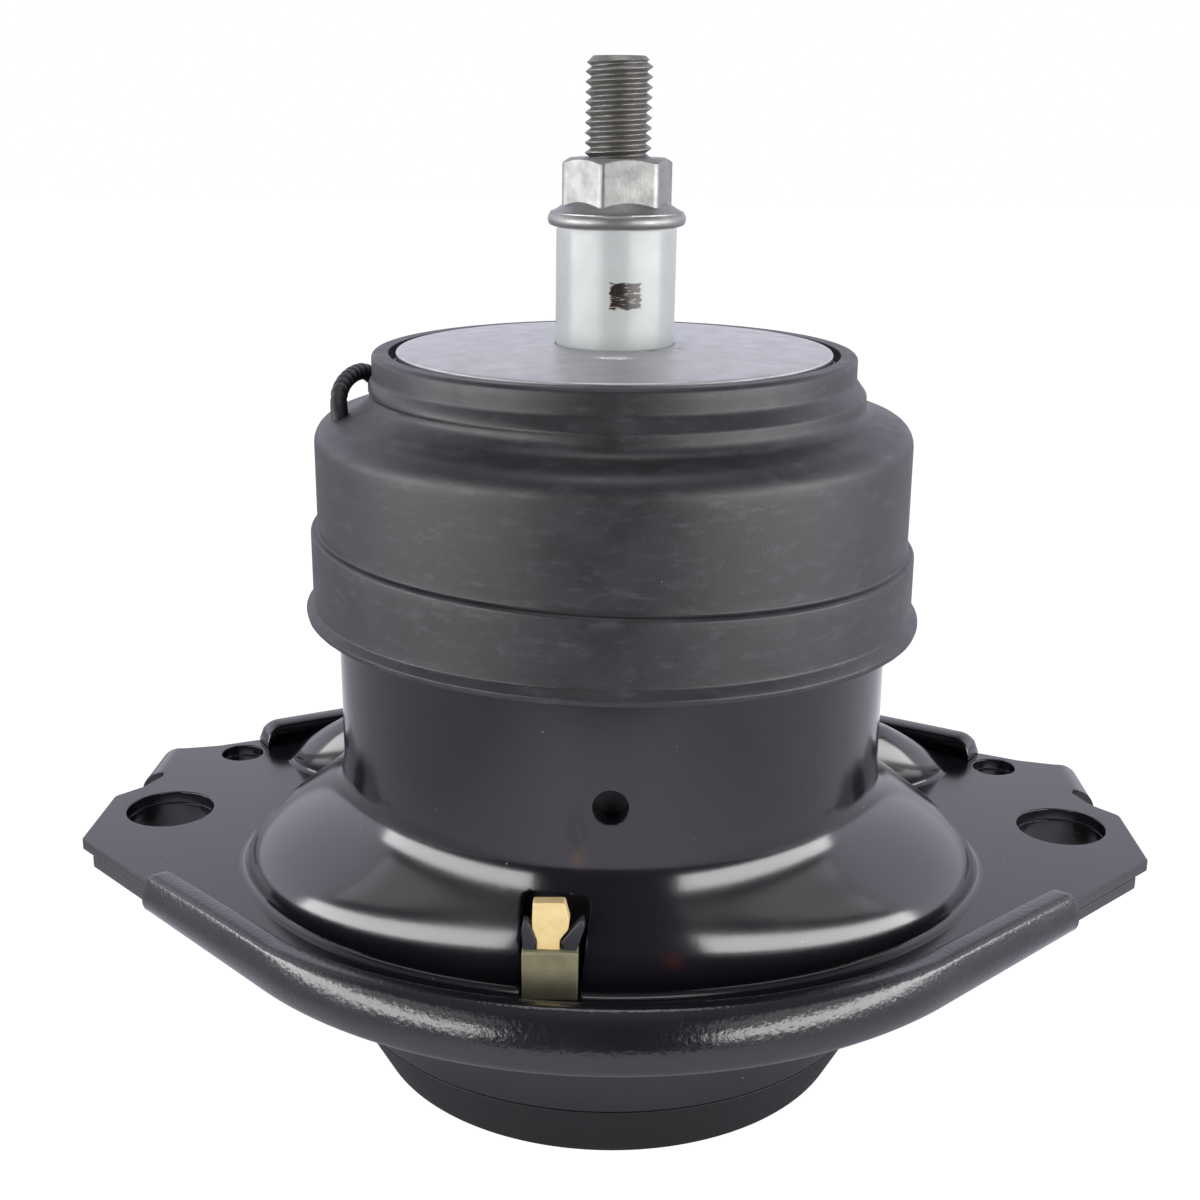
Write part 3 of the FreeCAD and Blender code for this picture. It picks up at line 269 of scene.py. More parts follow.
def spot(tree, place, middle, reach, blur=0.5, broken=None):
    # 1 inside an ellipsoid round a point, fading out over its last part; broken is the size of the
    # noise that eats into it
    far = addNode(tree, "VectorMath", {0: fromMiddle(tree, place, middle, reach)}, 1, operation="LENGTH")
    inside = addNode(tree, "MapRange", {"Value": far, "From Min": 1.0, "From Max": 1.0 - blur})
    if not broken:
        return inside
    noise = addNode(tree, "TexNoise", {"Vector": place, "Scale": 1 / (broken * mm), "Detail": 3.0})
    whole = addNode(tree, "MapRange", {"Value": noise, "From Min": 0.3, "From Max": 0.58})
    return addNode(tree, "Math", {0: inside, 1: whole}, operation="MULTIPLY")


def emptyTree(owner):
    # a material or world starts with no node at all
    owner.use_nodes = True
    owner.node_tree.nodes.clear()
    return owner.node_tree


def makeFinish(name, colour, shade, roughness, cloud=9.0, fine=1.4, depth=0.01, dust=None,
               marks=None, shader=None):
    material = bpy.data.materials.new(name)
    tree = emptyTree(material)
    place = addNode(tree, "TexCoord", output="Object")
    haze = addNode(tree, "TexNoise", {"Vector": place, "Scale": 1 / (cloud * mm), "Detail": 4.0, "Roughness": 0.6})
    share = addNode(tree, "MapRange", {"Value": haze, "From Min": 0.35, "From Max": 0.7})
    base = addNode(tree, "Mix", {0: share, 6: linear(colour), 7: linear(shade)}, 2, data_type="RGBA")
    rough = addNode(tree, "MapRange", {"Value": share, "To Min": roughness * 0.92, "To Max": roughness * 1.12})
    skin = addNode(tree, "TexNoise", {"Vector": place, "Scale": 1 / (fine * mm), "Detail": 2.0})
    normal = addNode(tree, "Bump", {"Height": skin, "Distance": depth * mm})
    stainsAndPaintedShade = [(specks(tree, place, dust[0], dust[1]), dust[2])] if dust else []
    if marks:
        more, rough, normal = marks(tree, place, rough, normal)
        stainsAndPaintedShade += more
    for cover, tone in stainsAndPaintedShade:
        base = addNode(tree, "Mix", {0: cover, 6: base, 7: linear(tone)}, 2, data_type="RGBA")
    surface = addNode(tree, "BsdfPrincipled", {
        "Base Color": base, "Roughness": rough, "Normal": normal, **(shader or {"IOR": 1.5})})
    addNode(tree, "OutputMaterial", {"Surface": surface})
    return material


def housingMarks(tree, place, rough, normal):
    # brown smear left of the vent, a dull scuff on each side of the canister, a faint red spot
    smear = spot(tree, place, (-4.4, -52.5, 66.0), (2.3, 7.0, 6.2), 0.5, 1.3)
    brown = spot(tree, place, (-4.2, -52.5, 61.5), (2.2, 6.0, 3.0), 0.8)
    red = spot(tree, place, (12.0, -55.0, 44.5), (3.0, 5.0, 2.6), 1.0, 2.0)
    left = spot(tree, place, (-41.5, -31.0, 77.0), (3.2, 6.0, 3.4), 1.0, 1.6)
    right = spot(tree, place, (42.0, -31.0, 76.0), (3.4, 6.0, 3.2), 1.0, 1.6)
    dull = addNode(tree, "Math", {0: left, 1: right}, operation="MAXIMUM")
    dull = addNode(tree, "Math", {0: dull, 1: smear}, operation="MAXIMUM")
    rough = addNode(tree, "Math", {0: dull, 1: 0.3, 2: rough}, operation="MULTIPLY_ADD")
    return [(smear, "#1f1b1a"), (brown, "#2e211b"), (red, "#35191b")], rough, normal


def rollMarks(tree, place, rough, normal):
    # the rolled edges carry a coarser peel: the film drew together over the stretched steel
    lumps = addNode(tree, "TexNoise", {"Vector": place, "Scale": 1 / (0.9 * mm), "Detail": 2.0, "Roughness": 0.5})
    return [], rough, addNode(tree, "Bump", {"Height": lumps, "Distance": 0.07 * mm, "Normal": normal})


def rubberMarks(tree, place, rough, normal):
    # pale bloom where the rubber was handled, in broken horizontal patches
    flat = addNode(tree, "Mapping", {"Vector": place, "Scale": (1, 1, 3)})
    bloom = addNode(tree, "TexNoise", {"Vector": flat, "Scale": 1 / (5 * mm), "Detail": 5.0, "Roughness": 0.65})
    bloom = addNode(tree, "MapRange", {"Value": bloom, "From Min": 0.52, "From Max": 0.75, "To Max": 0.8})
    return [(bloom, "#37373a")], rough, normal


def discMarks(tree, place, rough, normal):
    # a raised bright gate mark in front of the sleeve and two dirt spots at its foot
    gate = spot(tree, place, (0.3, -18.2, 141.4), (4.1, 1.6, 3.0), 0.4, 0.9)
    first = spot(tree, place, (7.0, -10.2, 141.6), (1.5, 1.1, 2.0), 0.7, 0.6)
    second = spot(tree, place, (12.2, -6.8, 141.6), (1.3, 0.8, 2.0), 0.7, 0.6)
    dirt = addNode(tree, "Math", {0: first, 1: second}, operation="MAXIMUM")
    rough = addNode(tree, "Math", {0: gate, 1: -0.2, 2: rough}, operation="MULTIPLY_ADD")
    lumps = addNode(tree, "TexNoise", {"Vector": place, "Scale": 1 / (0.9 * mm), "Detail": 2.0})
    lumps = addNode(tree, "Math", {0: lumps, 1: gate}, operation="MULTIPLY")
    normal = addNode(tree, "Bump", {"Height": lumps, "Distance": 1.1 * mm, "Normal": normal})
    return [(gate, "#f6f6f8"), (dirt, "#5a5450")], rough, normal


def greaseMarks(tree, place, rough, normal):
    # streaks of dark assembly grease, drawn out sideways round the sleeve
    flat = addNode(tree, "Mapping", {"Vector": place, "Scale": (1, 1, 5)})
    streaks = addNode(tree, "TexNoise", {"Vector": flat, "Scale": 1 / (1.6 * mm), "Detail": 4.0, "Roughness": 0.65})
    # the patch is square: the larger of both offsets from its middle, frayed by the streaks
    share = addNode(tree, "VectorMath", {0: fromMiddle(tree, place, **grease)}, operation="ABSOLUTE")
    sides = addNode(tree, "SeparateXYZ", {0: share}, None).outputs
    far = addNode(tree, "Math", {0: sides[0], 1: sides[2]}, operation="MAXIMUM")
    far = addNode(tree, "Math", {0: streaks, 1: -0.5, 2: far}, operation="MULTIPLY_ADD")
    patch = addNode(tree, "MapRange", {"Value": far, "From Min": 0.8, "From Max": 0.55})
    front = addNode(tree, "MapRange", {"Value": sides[1], "From Min": 1.0, "From Max": 0.9})
    patch = addNode(tree, "Math", {0: patch, 1: front}, operation="MULTIPLY")
    whole = addNode(tree, "Math", {0: patch, 1: streaks}, operation="MULTIPLY")
    dark = addNode(tree, "MapRange", {"Value": whole, "From Min": 0.34, "From Max": 0.44})
    halo = addNode(tree, "MapRange", {"Value": whole, "From Min": 0.2, "From Max": 0.42, "To Max": 0.7})
    return [(halo, "#a08f7d"), (dark, "#1f1813")], rough, normal


def clipShade(tree, place, rough, normal):
    # the tongue and block lie partly in the window; painted shade: this finish is darkened towards its foot, where
    # the window shades it
    height = addNode(tree, "SeparateXYZ", {0: place}, 2)
    low = addNode(tree, "MapRange", {"Value": height, "From Min": 44 * mm, "From Max": 38 * mm, "To Max": 0.5})
    return [(low, "#4a4636")], rough, normal


metal = {"Metallic": 1.0}
grease = {"middle": (2.1, -10.9, 151.5), "reach": (3.1, 6.0, 2.6)}
dust = (3.2, 0.16, "#8a8a8c")
black, worn = "#121116", "#17161a"

# cathodic dip paint on pressed steel: thin epoxy film, black with a hard gloss and a fine orange peel
housingPaint = makeFinish("dipPaintHousing", black, worn, 0.15, 18, 1.4, 0.006, dust, housingMarks, {"IOR": 1.52})
platePaint = makeFinish("dipPaintPlate", black, worn, 0.2, 18, 1.4, 0.004, dust, None, {"IOR": 1.52})
rollPaint = makeFinish("dipPaintRolledEdge", black, worn, 0.21, 18, 1.4, 0.006, dust, rollMarks, {"IOR": 1.52})
# moulded EPDM rubber: carbon black and matte, with a spark-eroded skin
bootRubber = makeFinish("mouldedBootRubber", "#17171a", "#202023", 0.47, 7, 0.35, 0.02,
                        (2.4, 0.1, "#8c8c8c"), rubberMarks)
tetherRubber = makeFinish("mouldedTether", "#0c0c0e", "#141416", 0.5, 4, 0.5, 0.02)
# glass-filled nylon cup, dull black
cupPlastic = makeFinish("mouldedCup", "#0b0b0d", "#101012", 0.6, 9, 0.5, 0.02, None, None, {
    "Specular IOR Level": 0.36})
# sand-cast aluminium, machined flat and left bare: fine and even, with no direction
discMetal = makeFinish("castAluminiumDisc", "#bdbcbc", "#b4b3b4", 0.45, 4, 0.28, 0.012, None, discMarks, metal)
# bright zinc plate on a forged nut
nutMetal = makeFinish("zincPlatedNut", "#949391", "#858482", 0.46, 3, 0.45, 0.025, None, None, metal)
# rolled thread with a thin phosphate film
studMetal = makeFinish("phosphatedStud", "#8b8986", "#7c7a76", 0.5, 3, 0.6, 0.01, None, None, metal)
# natural nylon 6: milky white and slightly waxy
nylon = makeFinish("naturalNylonSleeve", "#a9acab", "#a1a4a3", 0.3, 6, 0.8, 0.01, None, greaseMarks, {
    "IOR": 1.53, "Subsurface Weight": 0.15, "Subsurface Radius": (0.002, 0.002, 0.002)})
# injection-moulded clip, its tongue and its hooks
# the block's finish carries painted shade towards its foot
clipPlastic = makeFinish("oliveClip", "#7b775f", "#6c6852", 0.42, 2.5, 0.4, 0.012, None, clipShade)
tonguePlastic = makeFinish("creamTongue", "#dcc48e", "#cfb67e", 0.4, 2.5, 0.4, 0.012)
hookPlastic = makeFinish("slateHook", "#2e2e33", "#232327", 0.45, 2.5, 0.4, 0.012)
print("finishes made")


# Upper housing: canister, bell and rear dome of one pressing

housing = {
    "canister": 52.6,        # radius
    "plateTop": 38.1,
    "top": 112.0,
    "bellHeight": 25.3,
    "bellFlare": 20.7,
    "flarePower": 1.18,
    "bellBulge": 5.0,
    "bulgeRun": (0.147, 0.888, 0.884),    # where its front and back rise begins and ends, and its power
    "oval": 1.93,
    "foot": 1.7,             # concave round between bell and plate
    "sheet": 2.5,
    "vent": (1.3, 71.0, 3.1),             # x, height, radius
    "window": (-14.0, -3.5, 55.2, 1.8),   # left, right, top, corner round
    "windowSlant": 1.6,
    "openings": (-30.0, 100.0),    # both lie in front of this y and below this height
    "slide": 0.24,           # points this near an opening's outline slide onto it
}


def bellRadius(turns, height, sizes=housing):
    # oval section (|cos t| / a)^e + (|sin t| / b)^e = r^-e: both half-axes grow from the canister's
    # radius on half a cosine wave, and the front and back one does it over a shorter height
    share = (height - sizes["plateTop"]) / sizes["bellHeight"]
    start, end, power = sizes["bulgeRun"]
    short = np.clip((share - start) / (end - start), 0, 1)
    share = np.clip(share, 0, 1)
    wide = sizes["canister"] + sizes["bellFlare"] * ((1 + np.cos(math.pi * share)) / 2) ** sizes["flarePower"]
    deep = sizes["canister"] + sizes["bellBulge"] * ((1 + np.cos(math.pi * short)) / 2) ** power
    oval = sizes["oval"] + (2 - sizes["oval"]) * share
    return (np.abs(np.cos(turns) / wide) ** oval + np.abs(np.sin(turns) / deep) ** oval) ** (-1 / oval)


def windowGap(x, z, sizes=housing):
    # signed distance to the window's rounded outline in X and Z, below 0 inside
    left, right, top, corner = sizes["window"]
    rise = (z - sizes["plateTop"]) / (top - sizes["plateTop"])
    x = x - sizes["windowSlant"] * rise * np.clip((x - left) / (right - left), 0, 1.3)
    low = sizes["plateTop"] - 12
    across = np.abs(x - (left + right) / 2) - (right - left) / 2 + corner
    up = np.abs(z - (top + low) / 2) - (top - low) / 2 + corner
    outside = np.hypot(np.maximum(across, 0), np.maximum(up, 0))
    return outside + np.minimum(np.maximum(across, up), 0) - corner


def ventGap(x, z, sizes=housing):
    return np.hypot(x - sizes["vent"][0], z - sizes["vent"][1]) - sizes["vent"][2]


def makeHousing(sizes=housing):
    # rows run down the crimped edge, the canister, the bell and the round at its foot; rows and
    # columns are close together round the two openings
    foot, plateTop = sizes["foot"], sizes["plateTop"]
    arc = np.linspace(0, math.pi / 2, 9)
    crimp = np.array([(-5.6, 0.0), (-3.6, 0.0), (-1.6, 0.0), (-0.8, -0.25), (-0.2, -0.9)])
    straight = np.concatenate([np.arange(110.5, 76, -1.9), np.arange(75.2, 66.6, -0.42),
                               np.arange(66.3, 57, -0.45), np.arange(56.8, plateTop + foot, -0.38)])
    height = np.concatenate([sizes["top"] + crimp[:, 1], straight, plateTop + foot * (1 - np.sin(arc)),
                             [plateTop - 0.15]])
    spread = np.concatenate([crimp[:, 0], 0 * straight, foot * (1 - np.cos(arc)), [foot + 0.4]])[:, None]
    columns = np.radians(np.concatenate([np.arange(-20, 7.01, 0.4), np.arange(8.2, 338.9, 1.25)]) - 90)
    z = np.repeat(height[:, None], len(columns), axis=1)
    turns = np.repeat(columns[None, :], len(height), axis=0)
    radius = bellRadius(turns, z) + spread
    x, y = radius * np.cos(turns), radius * np.sin(turns)
    state = np.ones_like(x)      # 1 on the skin, 0 on an opening's outline, -1 inside an opening
    for gap in (windowGap, ventGap):
        # points near an opening's outline slide onto it along the gap's slope, then back onto the skin
        region = (y < sizes["openings"][0]) & (z < sizes["openings"][1])
        near = region & (np.abs(gap(x, z)) < sizes["slide"])
        for step in range(4):
            value = gap(x, z)
            slopeX = (gap(x + 0.01, z) - gap(x - 0.01, z)) / 0.02
            slopeZ = (gap(x, z + 0.01) - gap(x, z - 0.01)) / 0.02
            x = np.where(near, x - value * slopeX, x)
            z = np.where(near, z - value * slopeZ, z)
            for turn in range(2):
                turns = np.where(near, np.arctan2(y, x), turns)
                skin = bellRadius(turns, z) + spread
                y = np.where(near, -np.sqrt(np.maximum(skin ** 2 - x ** 2, 1)), y)
        state = np.where(region & (gap(x, z) < -0.02) & ~near, -1, state)
        state = np.where(near, 0, state)
    # quads clear of the openings stay; one with a single corner inside keeps the other three
    faces = gridFaces(len(height), len(columns))
    kind = state.reshape(-1)[faces]
    skin = (kind > 0).any(1)
    inside = (kind < 0).sum(1)
    split = faces[(inside == 1) & skin]
    first = np.argmin(state.reshape(-1)[split], axis=1)
    corners = np.stack([split[np.arange(len(split)), (first + k) % 4] for k in (1, 2, 3)], -1)
    faces = faces[(inside == 0) & skin].tolist() + corners.tolist()
    shell = makePiece("bellAndCanister", np.stack([x, y, z], -1), faces, housingPaint, 40, seal=False)
    turnOutwards(shell, lambda face: face.calc_center_median() * Vector((1, 1, 0)))
    return thicken(shell, sizes["sheet"], 0.14)


lobe = {"reach": 75.5, "depth": 27.0, "back": 50.0, "topReach": 58.5, "topDepth": 13.0, "topBack": 38.0,
        "height": 15.0, "power": 1.3, "round": 4.0, "foot": 1.2}


def makeRearDome(sizes=lobe):
    # ovals that shrink and move forward as they rise; the last few close over the top on a quarter
    # circle, and the first few open into the plate on a concave one
    low, rise = housing["plateTop"], sizes["height"]
    rows = np.linspace(0, 1, 40)
    arc = np.linspace(0, math.pi / 2, 12)
    roundUp = sizes["round"]
    straight = 1 - roundUp / rise * 0.6
    share = np.concatenate([rows * straight, straight + (1 - straight) * np.sin(arc[1:]), [1.0]])
    inset = np.concatenate([0 * rows, roundUp * (1 - np.cos(arc[1:])), [60.0]])
    footRise = np.clip(share * rise / sizes["foot"], 0, 1)
    inset = inset - sizes["foot"] * (1 - np.sqrt(1 - (1 - footRise) ** 2))
    turns = np.linspace(0, 2 * math.pi, 181)[:-1]
    fade = (share ** sizes["power"])[:, None]
    wide = np.maximum(sizes["reach"] + (sizes["topReach"] - sizes["reach"]) * fade - inset[:, None], 0)
    deep = np.maximum(sizes["depth"] + (sizes["topDepth"] - sizes["depth"]) * fade - inset[:, None], 0)
    behind = sizes["back"] + (sizes["topBack"] - sizes["back"]) * share[:, None]
    x, y = wide * np.cos(turns), behind + deep * np.sin(turns)
    z = np.repeat(low + rise * share[:, None] - 0.05 * (share[:, None] == 0), len(turns), axis=1)
    faces = gridFaces(len(share), len(turns))
    return makePiece("rearDome", np.stack([x, y, z], -1), faces, housingPaint, 50)


# Plates

base = {
    "rim": 85.5,             # radius of both rolled edges' outside
    "centre": 9.6,           # y of the middle of those arcs
    "upperRim": 82.9,
    "frontAngle": 45.0,      # half angles of the arcs
    "backAngle": 30.0,
    "low": 33.1,             # heights of the two layers
    "middle": 35.6,
    "top": 38.1,
    "seam": 0.03,            # half the gap between them
    "bolt": (95.2, 17.5, 9.16),          # x, y, radius of the holes
    "locating": (87.3, 50.2, 4.73),
    "collar": 28.6,          # lower end of the bolt hole's collar, and its wall
    "collarWall": 1.6,
}


def ringOf(x, y, radius, count, ragged, seed):
    # a hole's outline, slightly ragged
    turns = np.arange(count) * 2 * math.pi / count
    reach = radius + ragged * wavy(turns, seed, (5, 9, 14, 21, 27))
    return np.column_stack([x + reach * np.cos(turns), y + reach * np.sin(turns)])


def plateRing(rim, right):
    # closed outline: front arc, right side's corners, back arc, then the left side mirrored
    front, back = math.radians(base["frontAngle"]), math.radians(base["backAngle"])
    side = roundedLine([(rim * math.sin(front), base["centre"] - rim * math.cos(front))] + right
                       + [(rim * math.sin(back), base["centre"] + rim * math.cos(back))], 5)
    sweep = np.linspace(-front, front, 61)[1:-1]
    frontArc = np.column_stack([rim * np.sin(sweep), base["centre"] - rim * np.cos(sweep)])
    sweep = np.linspace(back, -back, 45)[1:-1]
    backArc = np.column_stack([rim * np.sin(sweep), base["centre"] + rim * np.cos(sweep)])
    return np.vstack([frontArc, side, backArc, side[::-1] * (-1, 1)])


def earHoles(seed):
    rings = []
    for side in (-1, 1):
        for (x, y, radius), count, ragged, own in ((base["bolt"], 96, 0.07, 0), (base["locating"], 60, 0.12, 5)):
            rings.append(ringOf(side * x, y, radius, count, ragged, seed + own + side)[::-1])
    return rings


def makePlates():
    upper = plateRing(base["upperRim"], [
        (109.2, 1.6, 1.2), (109.2, 23.8, 2.5), (104.4, 29.4, 7.0), (101.8, 36.0, 2.0), (102.6, 37.5, 0.3),
        (102.6, 52.3, 0.3), (94.0, 54.6, 2.5), (85.3, 58.9, 0.5), (84.0, 56.9, 0.3)])
    lower = plateRing(base["upperRim"], [
        (106.2, -1.4, 1.2), (106.2, 22.8, 2.5), (101.4, 29.4, 7.0), (98.8, 36.2, 2.0), (101.3, 37.8, 0.3),
        (101.3, 52.0, 0.3), (94.0, 54.0, 2.5), (85.2, 58.4, 0.5), (84.0, 56.9, 0.3)])
    middle, seam = base["middle"], base["seam"]
    return (cutPiece("upperPlate", [upper] + earHoles(11), middle + seam, base["top"], 0.3, platePaint),
            cutPiece("lowerSheet", [lower] + earHoles(31), base["low"], middle - seam, 0.3, platePaint))


def makeCollar(side):
    # the lower layer's bolt hole has its rim drawn down into a short collar
    x, y, radius = base["bolt"]
    outside, top, end = radius + base["collarWall"], base["low"] + 0.4, base["collar"]
    line = roundedLine([(outside, top), (outside, end, 0.5), (radius, end, 0.5), (radius, top)], 4)
    collar = turnedPiece("collar", line, platePaint, 72, closed=True)
    collar.data.transform(Matrix.Translation((side * x * mm, y * mm, 0)))
    return collar


tab = {"start": 100.4, "middle": 44.9, "half": 7.35, "flat": 2.1, "bend": 5.0, "down": 8.7, "corner": 4.0,
       "sheet": 2.47}


def makeTab(side, sizes=tab):
    # sheet bent down over a quarter circle; its length shrinks near both ends, which rounds the corners
    u = np.linspace(0, 1, 41)
    v = np.concatenate([[-0.12, -0.06], np.linspace(0, 1, 36)])
    half, flat, bend, corner = sizes["half"], sizes["flat"], sizes["bend"], sizes["corner"]
    y = sizes["middle"] + half * np.sin((u - 0.5) * math.pi)
    near = np.clip((half - np.abs(y - sizes["middle"])) / corner, 0, 1)
    down = sizes["down"] - corner * (1 - np.sqrt(1 - (1 - near) ** 2))
    curve = bend * math.pi / 2
    walked = v[:, None] * (flat + curve + down)[None, :]
    # the first rows go down into the plate, so that the seam doesn't show
    sunk = np.maximum(-walked, 0)
    angle = np.clip((walked - flat) / bend, 0, math.pi / 2)
    x = sizes["start"] + np.minimum(walked, flat) + bend * np.sin(angle) + 0.7 * sunk
    z = base["top"] + 0.015 - bend * (1 - np.cos(angle)) - np.maximum(walked - flat - curve, 0) - 0.9 * sunk
    points = np.stack([side * x, np.repeat(y[None, :], len(v), axis=0), z], -1)
    faces = gridFaces(len(v), len(u), closedColumns=False)
    piece = makePiece("tab", points, faces, platePaint, 60, seal=False)
    turnOutwards(piece, lambda face: Vector((side, 0, 1)))
    return thicken(piece, sizes["sheet"], 0.3)


rolls = {
    # which side, half angle of the arc and length of each straight run beside it; lip width at the
    # ends and in the middle; how far the crown lies back and rises there, and how the ends sink
    "front": {"side": -1, "angle": 45.0, "run": 41.8, "lap": 5.4, "lapMid": 6.4, "midBack": 1.7, "midRise": 0.23,
              "endRound": 2.4, "endDrop": 0.12, "sideDrop": 0.1},
    "rear": {"side": 1, "angle": 30.0, "run": 49.2, "lap": 7.0, "lapMid": 7.5, "midBack": 0.0, "midRise": 0.0,
             "endRound": 4.0, "endDrop": 0.35, "sideDrop": 0.0},
}


def rimPath(side, angle, run):
    # points and inward directions along the rim: straight run, arc, straight run
    bend, step = math.radians(angle), 1.2
    arcSteps = max(int(base["rim"] * 2 * bend / step), 2)
    runSteps = max(int(run / (2 * step)), 2)
    sweep = np.linspace(-bend, bend, arcSteps)
    # the last 4 mm have closer points, for the rounded end
    along = np.concatenate([np.linspace(0, run - 4, runSteps + 1)[1:],
                            run - 4 * np.cos(np.linspace(0, math.pi / 2, 9)[1:])])
    turns = np.concatenate([np.full(len(along), -bend), sweep, np.full(len(along), bend)])
    reach = np.concatenate([-along[::-1], 0 * sweep, along])
    out = np.column_stack([np.sin(turns), side * np.cos(turns)])
    ahead = np.column_stack([np.cos(turns), -side * np.sin(turns)])
    places = np.array([0, base["centre"]]) + base["rim"] * out + reach[:, None] * ahead
    return places, -out, turns, reach


def makeRoll(name, sizes, profile, material, ragged=0.0):
    # closed profile carried along the rim; the lip's inner end follows the lap
    places, inward, turns, reach = rimPath(sizes["side"], sizes["angle"], sizes["run"])
    bend = math.radians(sizes["angle"])
    middle = ((np.cos(turns) - math.cos(bend)) / (1 - math.cos(bend)))[:, None]
    steps = np.linspace(0, 1, len(turns)) * 2 * math.pi
    fray = ragged * wavy(steps, 5, (11, 17, 29, 43, 60))[:, None]
    lap = sizes["lap"] + (sizes["lapMid"] - sizes["lap"]) * middle + fray
    across, level, onLip = profile.T[:, None, :]
    # in the middle of the run the crown lies further back and higher
    crownStart, crownRun = 34.9, 6.9
    high = np.clip((level - crownStart) / crownRun, 0, 1)
    inset = across + onLip * lap + sizes["midBack"] * middle * high ** 4 * (onLip < 0.5) * (across < 5)
    rows, columns = inset.shape
    x = places[:, :1] + inward[:, :1] * inset
    y = places[:, 1:] + inward[:, 1:] * inset
    z = level + sizes["midRise"] * middle * high * np.maximum(level - base["low"], 0)
    # towards each end the roll sinks a little, on a quarter ellipse, down to its lower face
    walked = np.concatenate([[0], np.cumsum(np.linalg.norm(np.diff(places, axis=0), axis=1))])
    near = np.clip(1 - np.minimum(walked, walked[-1] - walked) / sizes["endRound"], 0, 1)
    drop = sizes["endDrop"] * (1 - np.sqrt(1 - near ** 2))
    drop = drop + sizes["sideDrop"] * (np.abs(reach) / sizes["run"]) ** 1.5
    z = base["low"] + (z - base["low"]) * (1 - drop[:, None])
    piece = makePiece(name, np.stack([x, y, z], -1), cappedFaces(rows, columns), material, 40)
    rim = piece.modifiers.new("ends", "BEVEL")
    rim.width, rim.segments, rim.limit_method, rim.angle_limit = 0.35 * mm, 2, "ANGLE", math.radians(60)
    applyAll(piece)
    return piece


def rollProfile(outer, lip, inner):
    # (inset, height, 1 where the inset counts from the lap) for the whole closed outline
    return np.vstack([np.column_stack([line, np.full(len(line), line is lip)]) for line in (outer, lip, inner)])


def makeRolls():
    # front: the lower layer comes up in a wall that leans in, turns over a crown and ends on the upper one
    crest, crownRound = 41.2, 1.5
    rise = np.linspace(33.6, crest, 17)
    slope = np.radians(np.interp(rise, [33.6, 34.5, 36.2, 38.2, crest], [-48, -24, -5, 10, 18]))
    wall = np.concatenate([[0], np.cumsum(np.tan(slope[1:]) * np.diff(rise))])
    wall -= wall.min()
    over = np.radians(np.linspace(19, 90, 10))[1:]
    crown = np.column_stack([wall[-1] + crownRound * (math.cos(slope[-1]) - np.cos(over)),
                             crest + crownRound * (np.sin(over) - math.sin(slope[-1]))])
    under = np.array([(6.0, 33.4), (4.8, 33.12), (wall[0] + 1.1, 33.12), (wall[0] + 0.45, 33.24)])
    outer = np.vstack([under, np.column_stack([wall, rise]), crown])
    lip = np.array([(-0.6, 42.1), (-0.2, 41.95), (0.0, 41.6), (0.0, 38.12)])
    inner = np.array([(2.6, 38.12), (2.6, 35.3), (6.0, 35.3)])
    front = rollProfile(outer, lip, inner)
    # rear: the edge stands up and curls over with an open gap above the upper layer
    outer = roundedLine([(6.0, 33.4), (4.6, 33.12), (0.0, 33.12, 1.2), (0.0, 43.5, 3.3), (3.9, 43.5)], 9)
    lip = np.array([(-0.6, 43.5), (-0.15, 43.3), (0.0, 42.9), (0.0, 41.5), (-0.2, 41.1), (-0.6, 41.0)])
    inner = roundedLine([(4.0, 41.0), (2.5, 41.0, 0.8), (2.5, 35.3), (6.0, 35.3)], 4)
    return (makeRoll("frontRoll", rolls["front"], front, rollPaint, 0.06),
            makeRoll("rearRoll", rolls["rear"], rollProfile(outer, lip, inner), platePaint, 0.03))


def makePot():
    outside = roundedLine([(58.0, 33.6), (55.6, 33.3), (53.4, 33.3, 1.6), (53.4, 12.55, 0.5), (44.0, 12.55)])
    inside = roundedLine([(44.0, 15.0), (50.9, 15.0, 0.8), (50.9, 35.2), (58.0, 35.2)], 4)
    line = np.vstack([refined(outside, 4), refined(inside, 6)])
    return turnedPiece("drawnPot", line, platePaint, closed=True)


def makeCup():
    line = roundedLine([(0.0, 0.0), (46.8, 0.0, 1.6), (53.4, 12.45, 0.25), (43.8, 12.45), (43.8, 15.6),
                        (41.2, 15.6), (41.2, 10.0), (0.0, 10.0)])
    return turnedPiece("bottomCup", refined(line, 5), cupPlastic, 160)


# Rubber boot and its tether

boot = {"bandTilt": 2.1, "bandBack": -0.6, "lipTilt": 1.0}


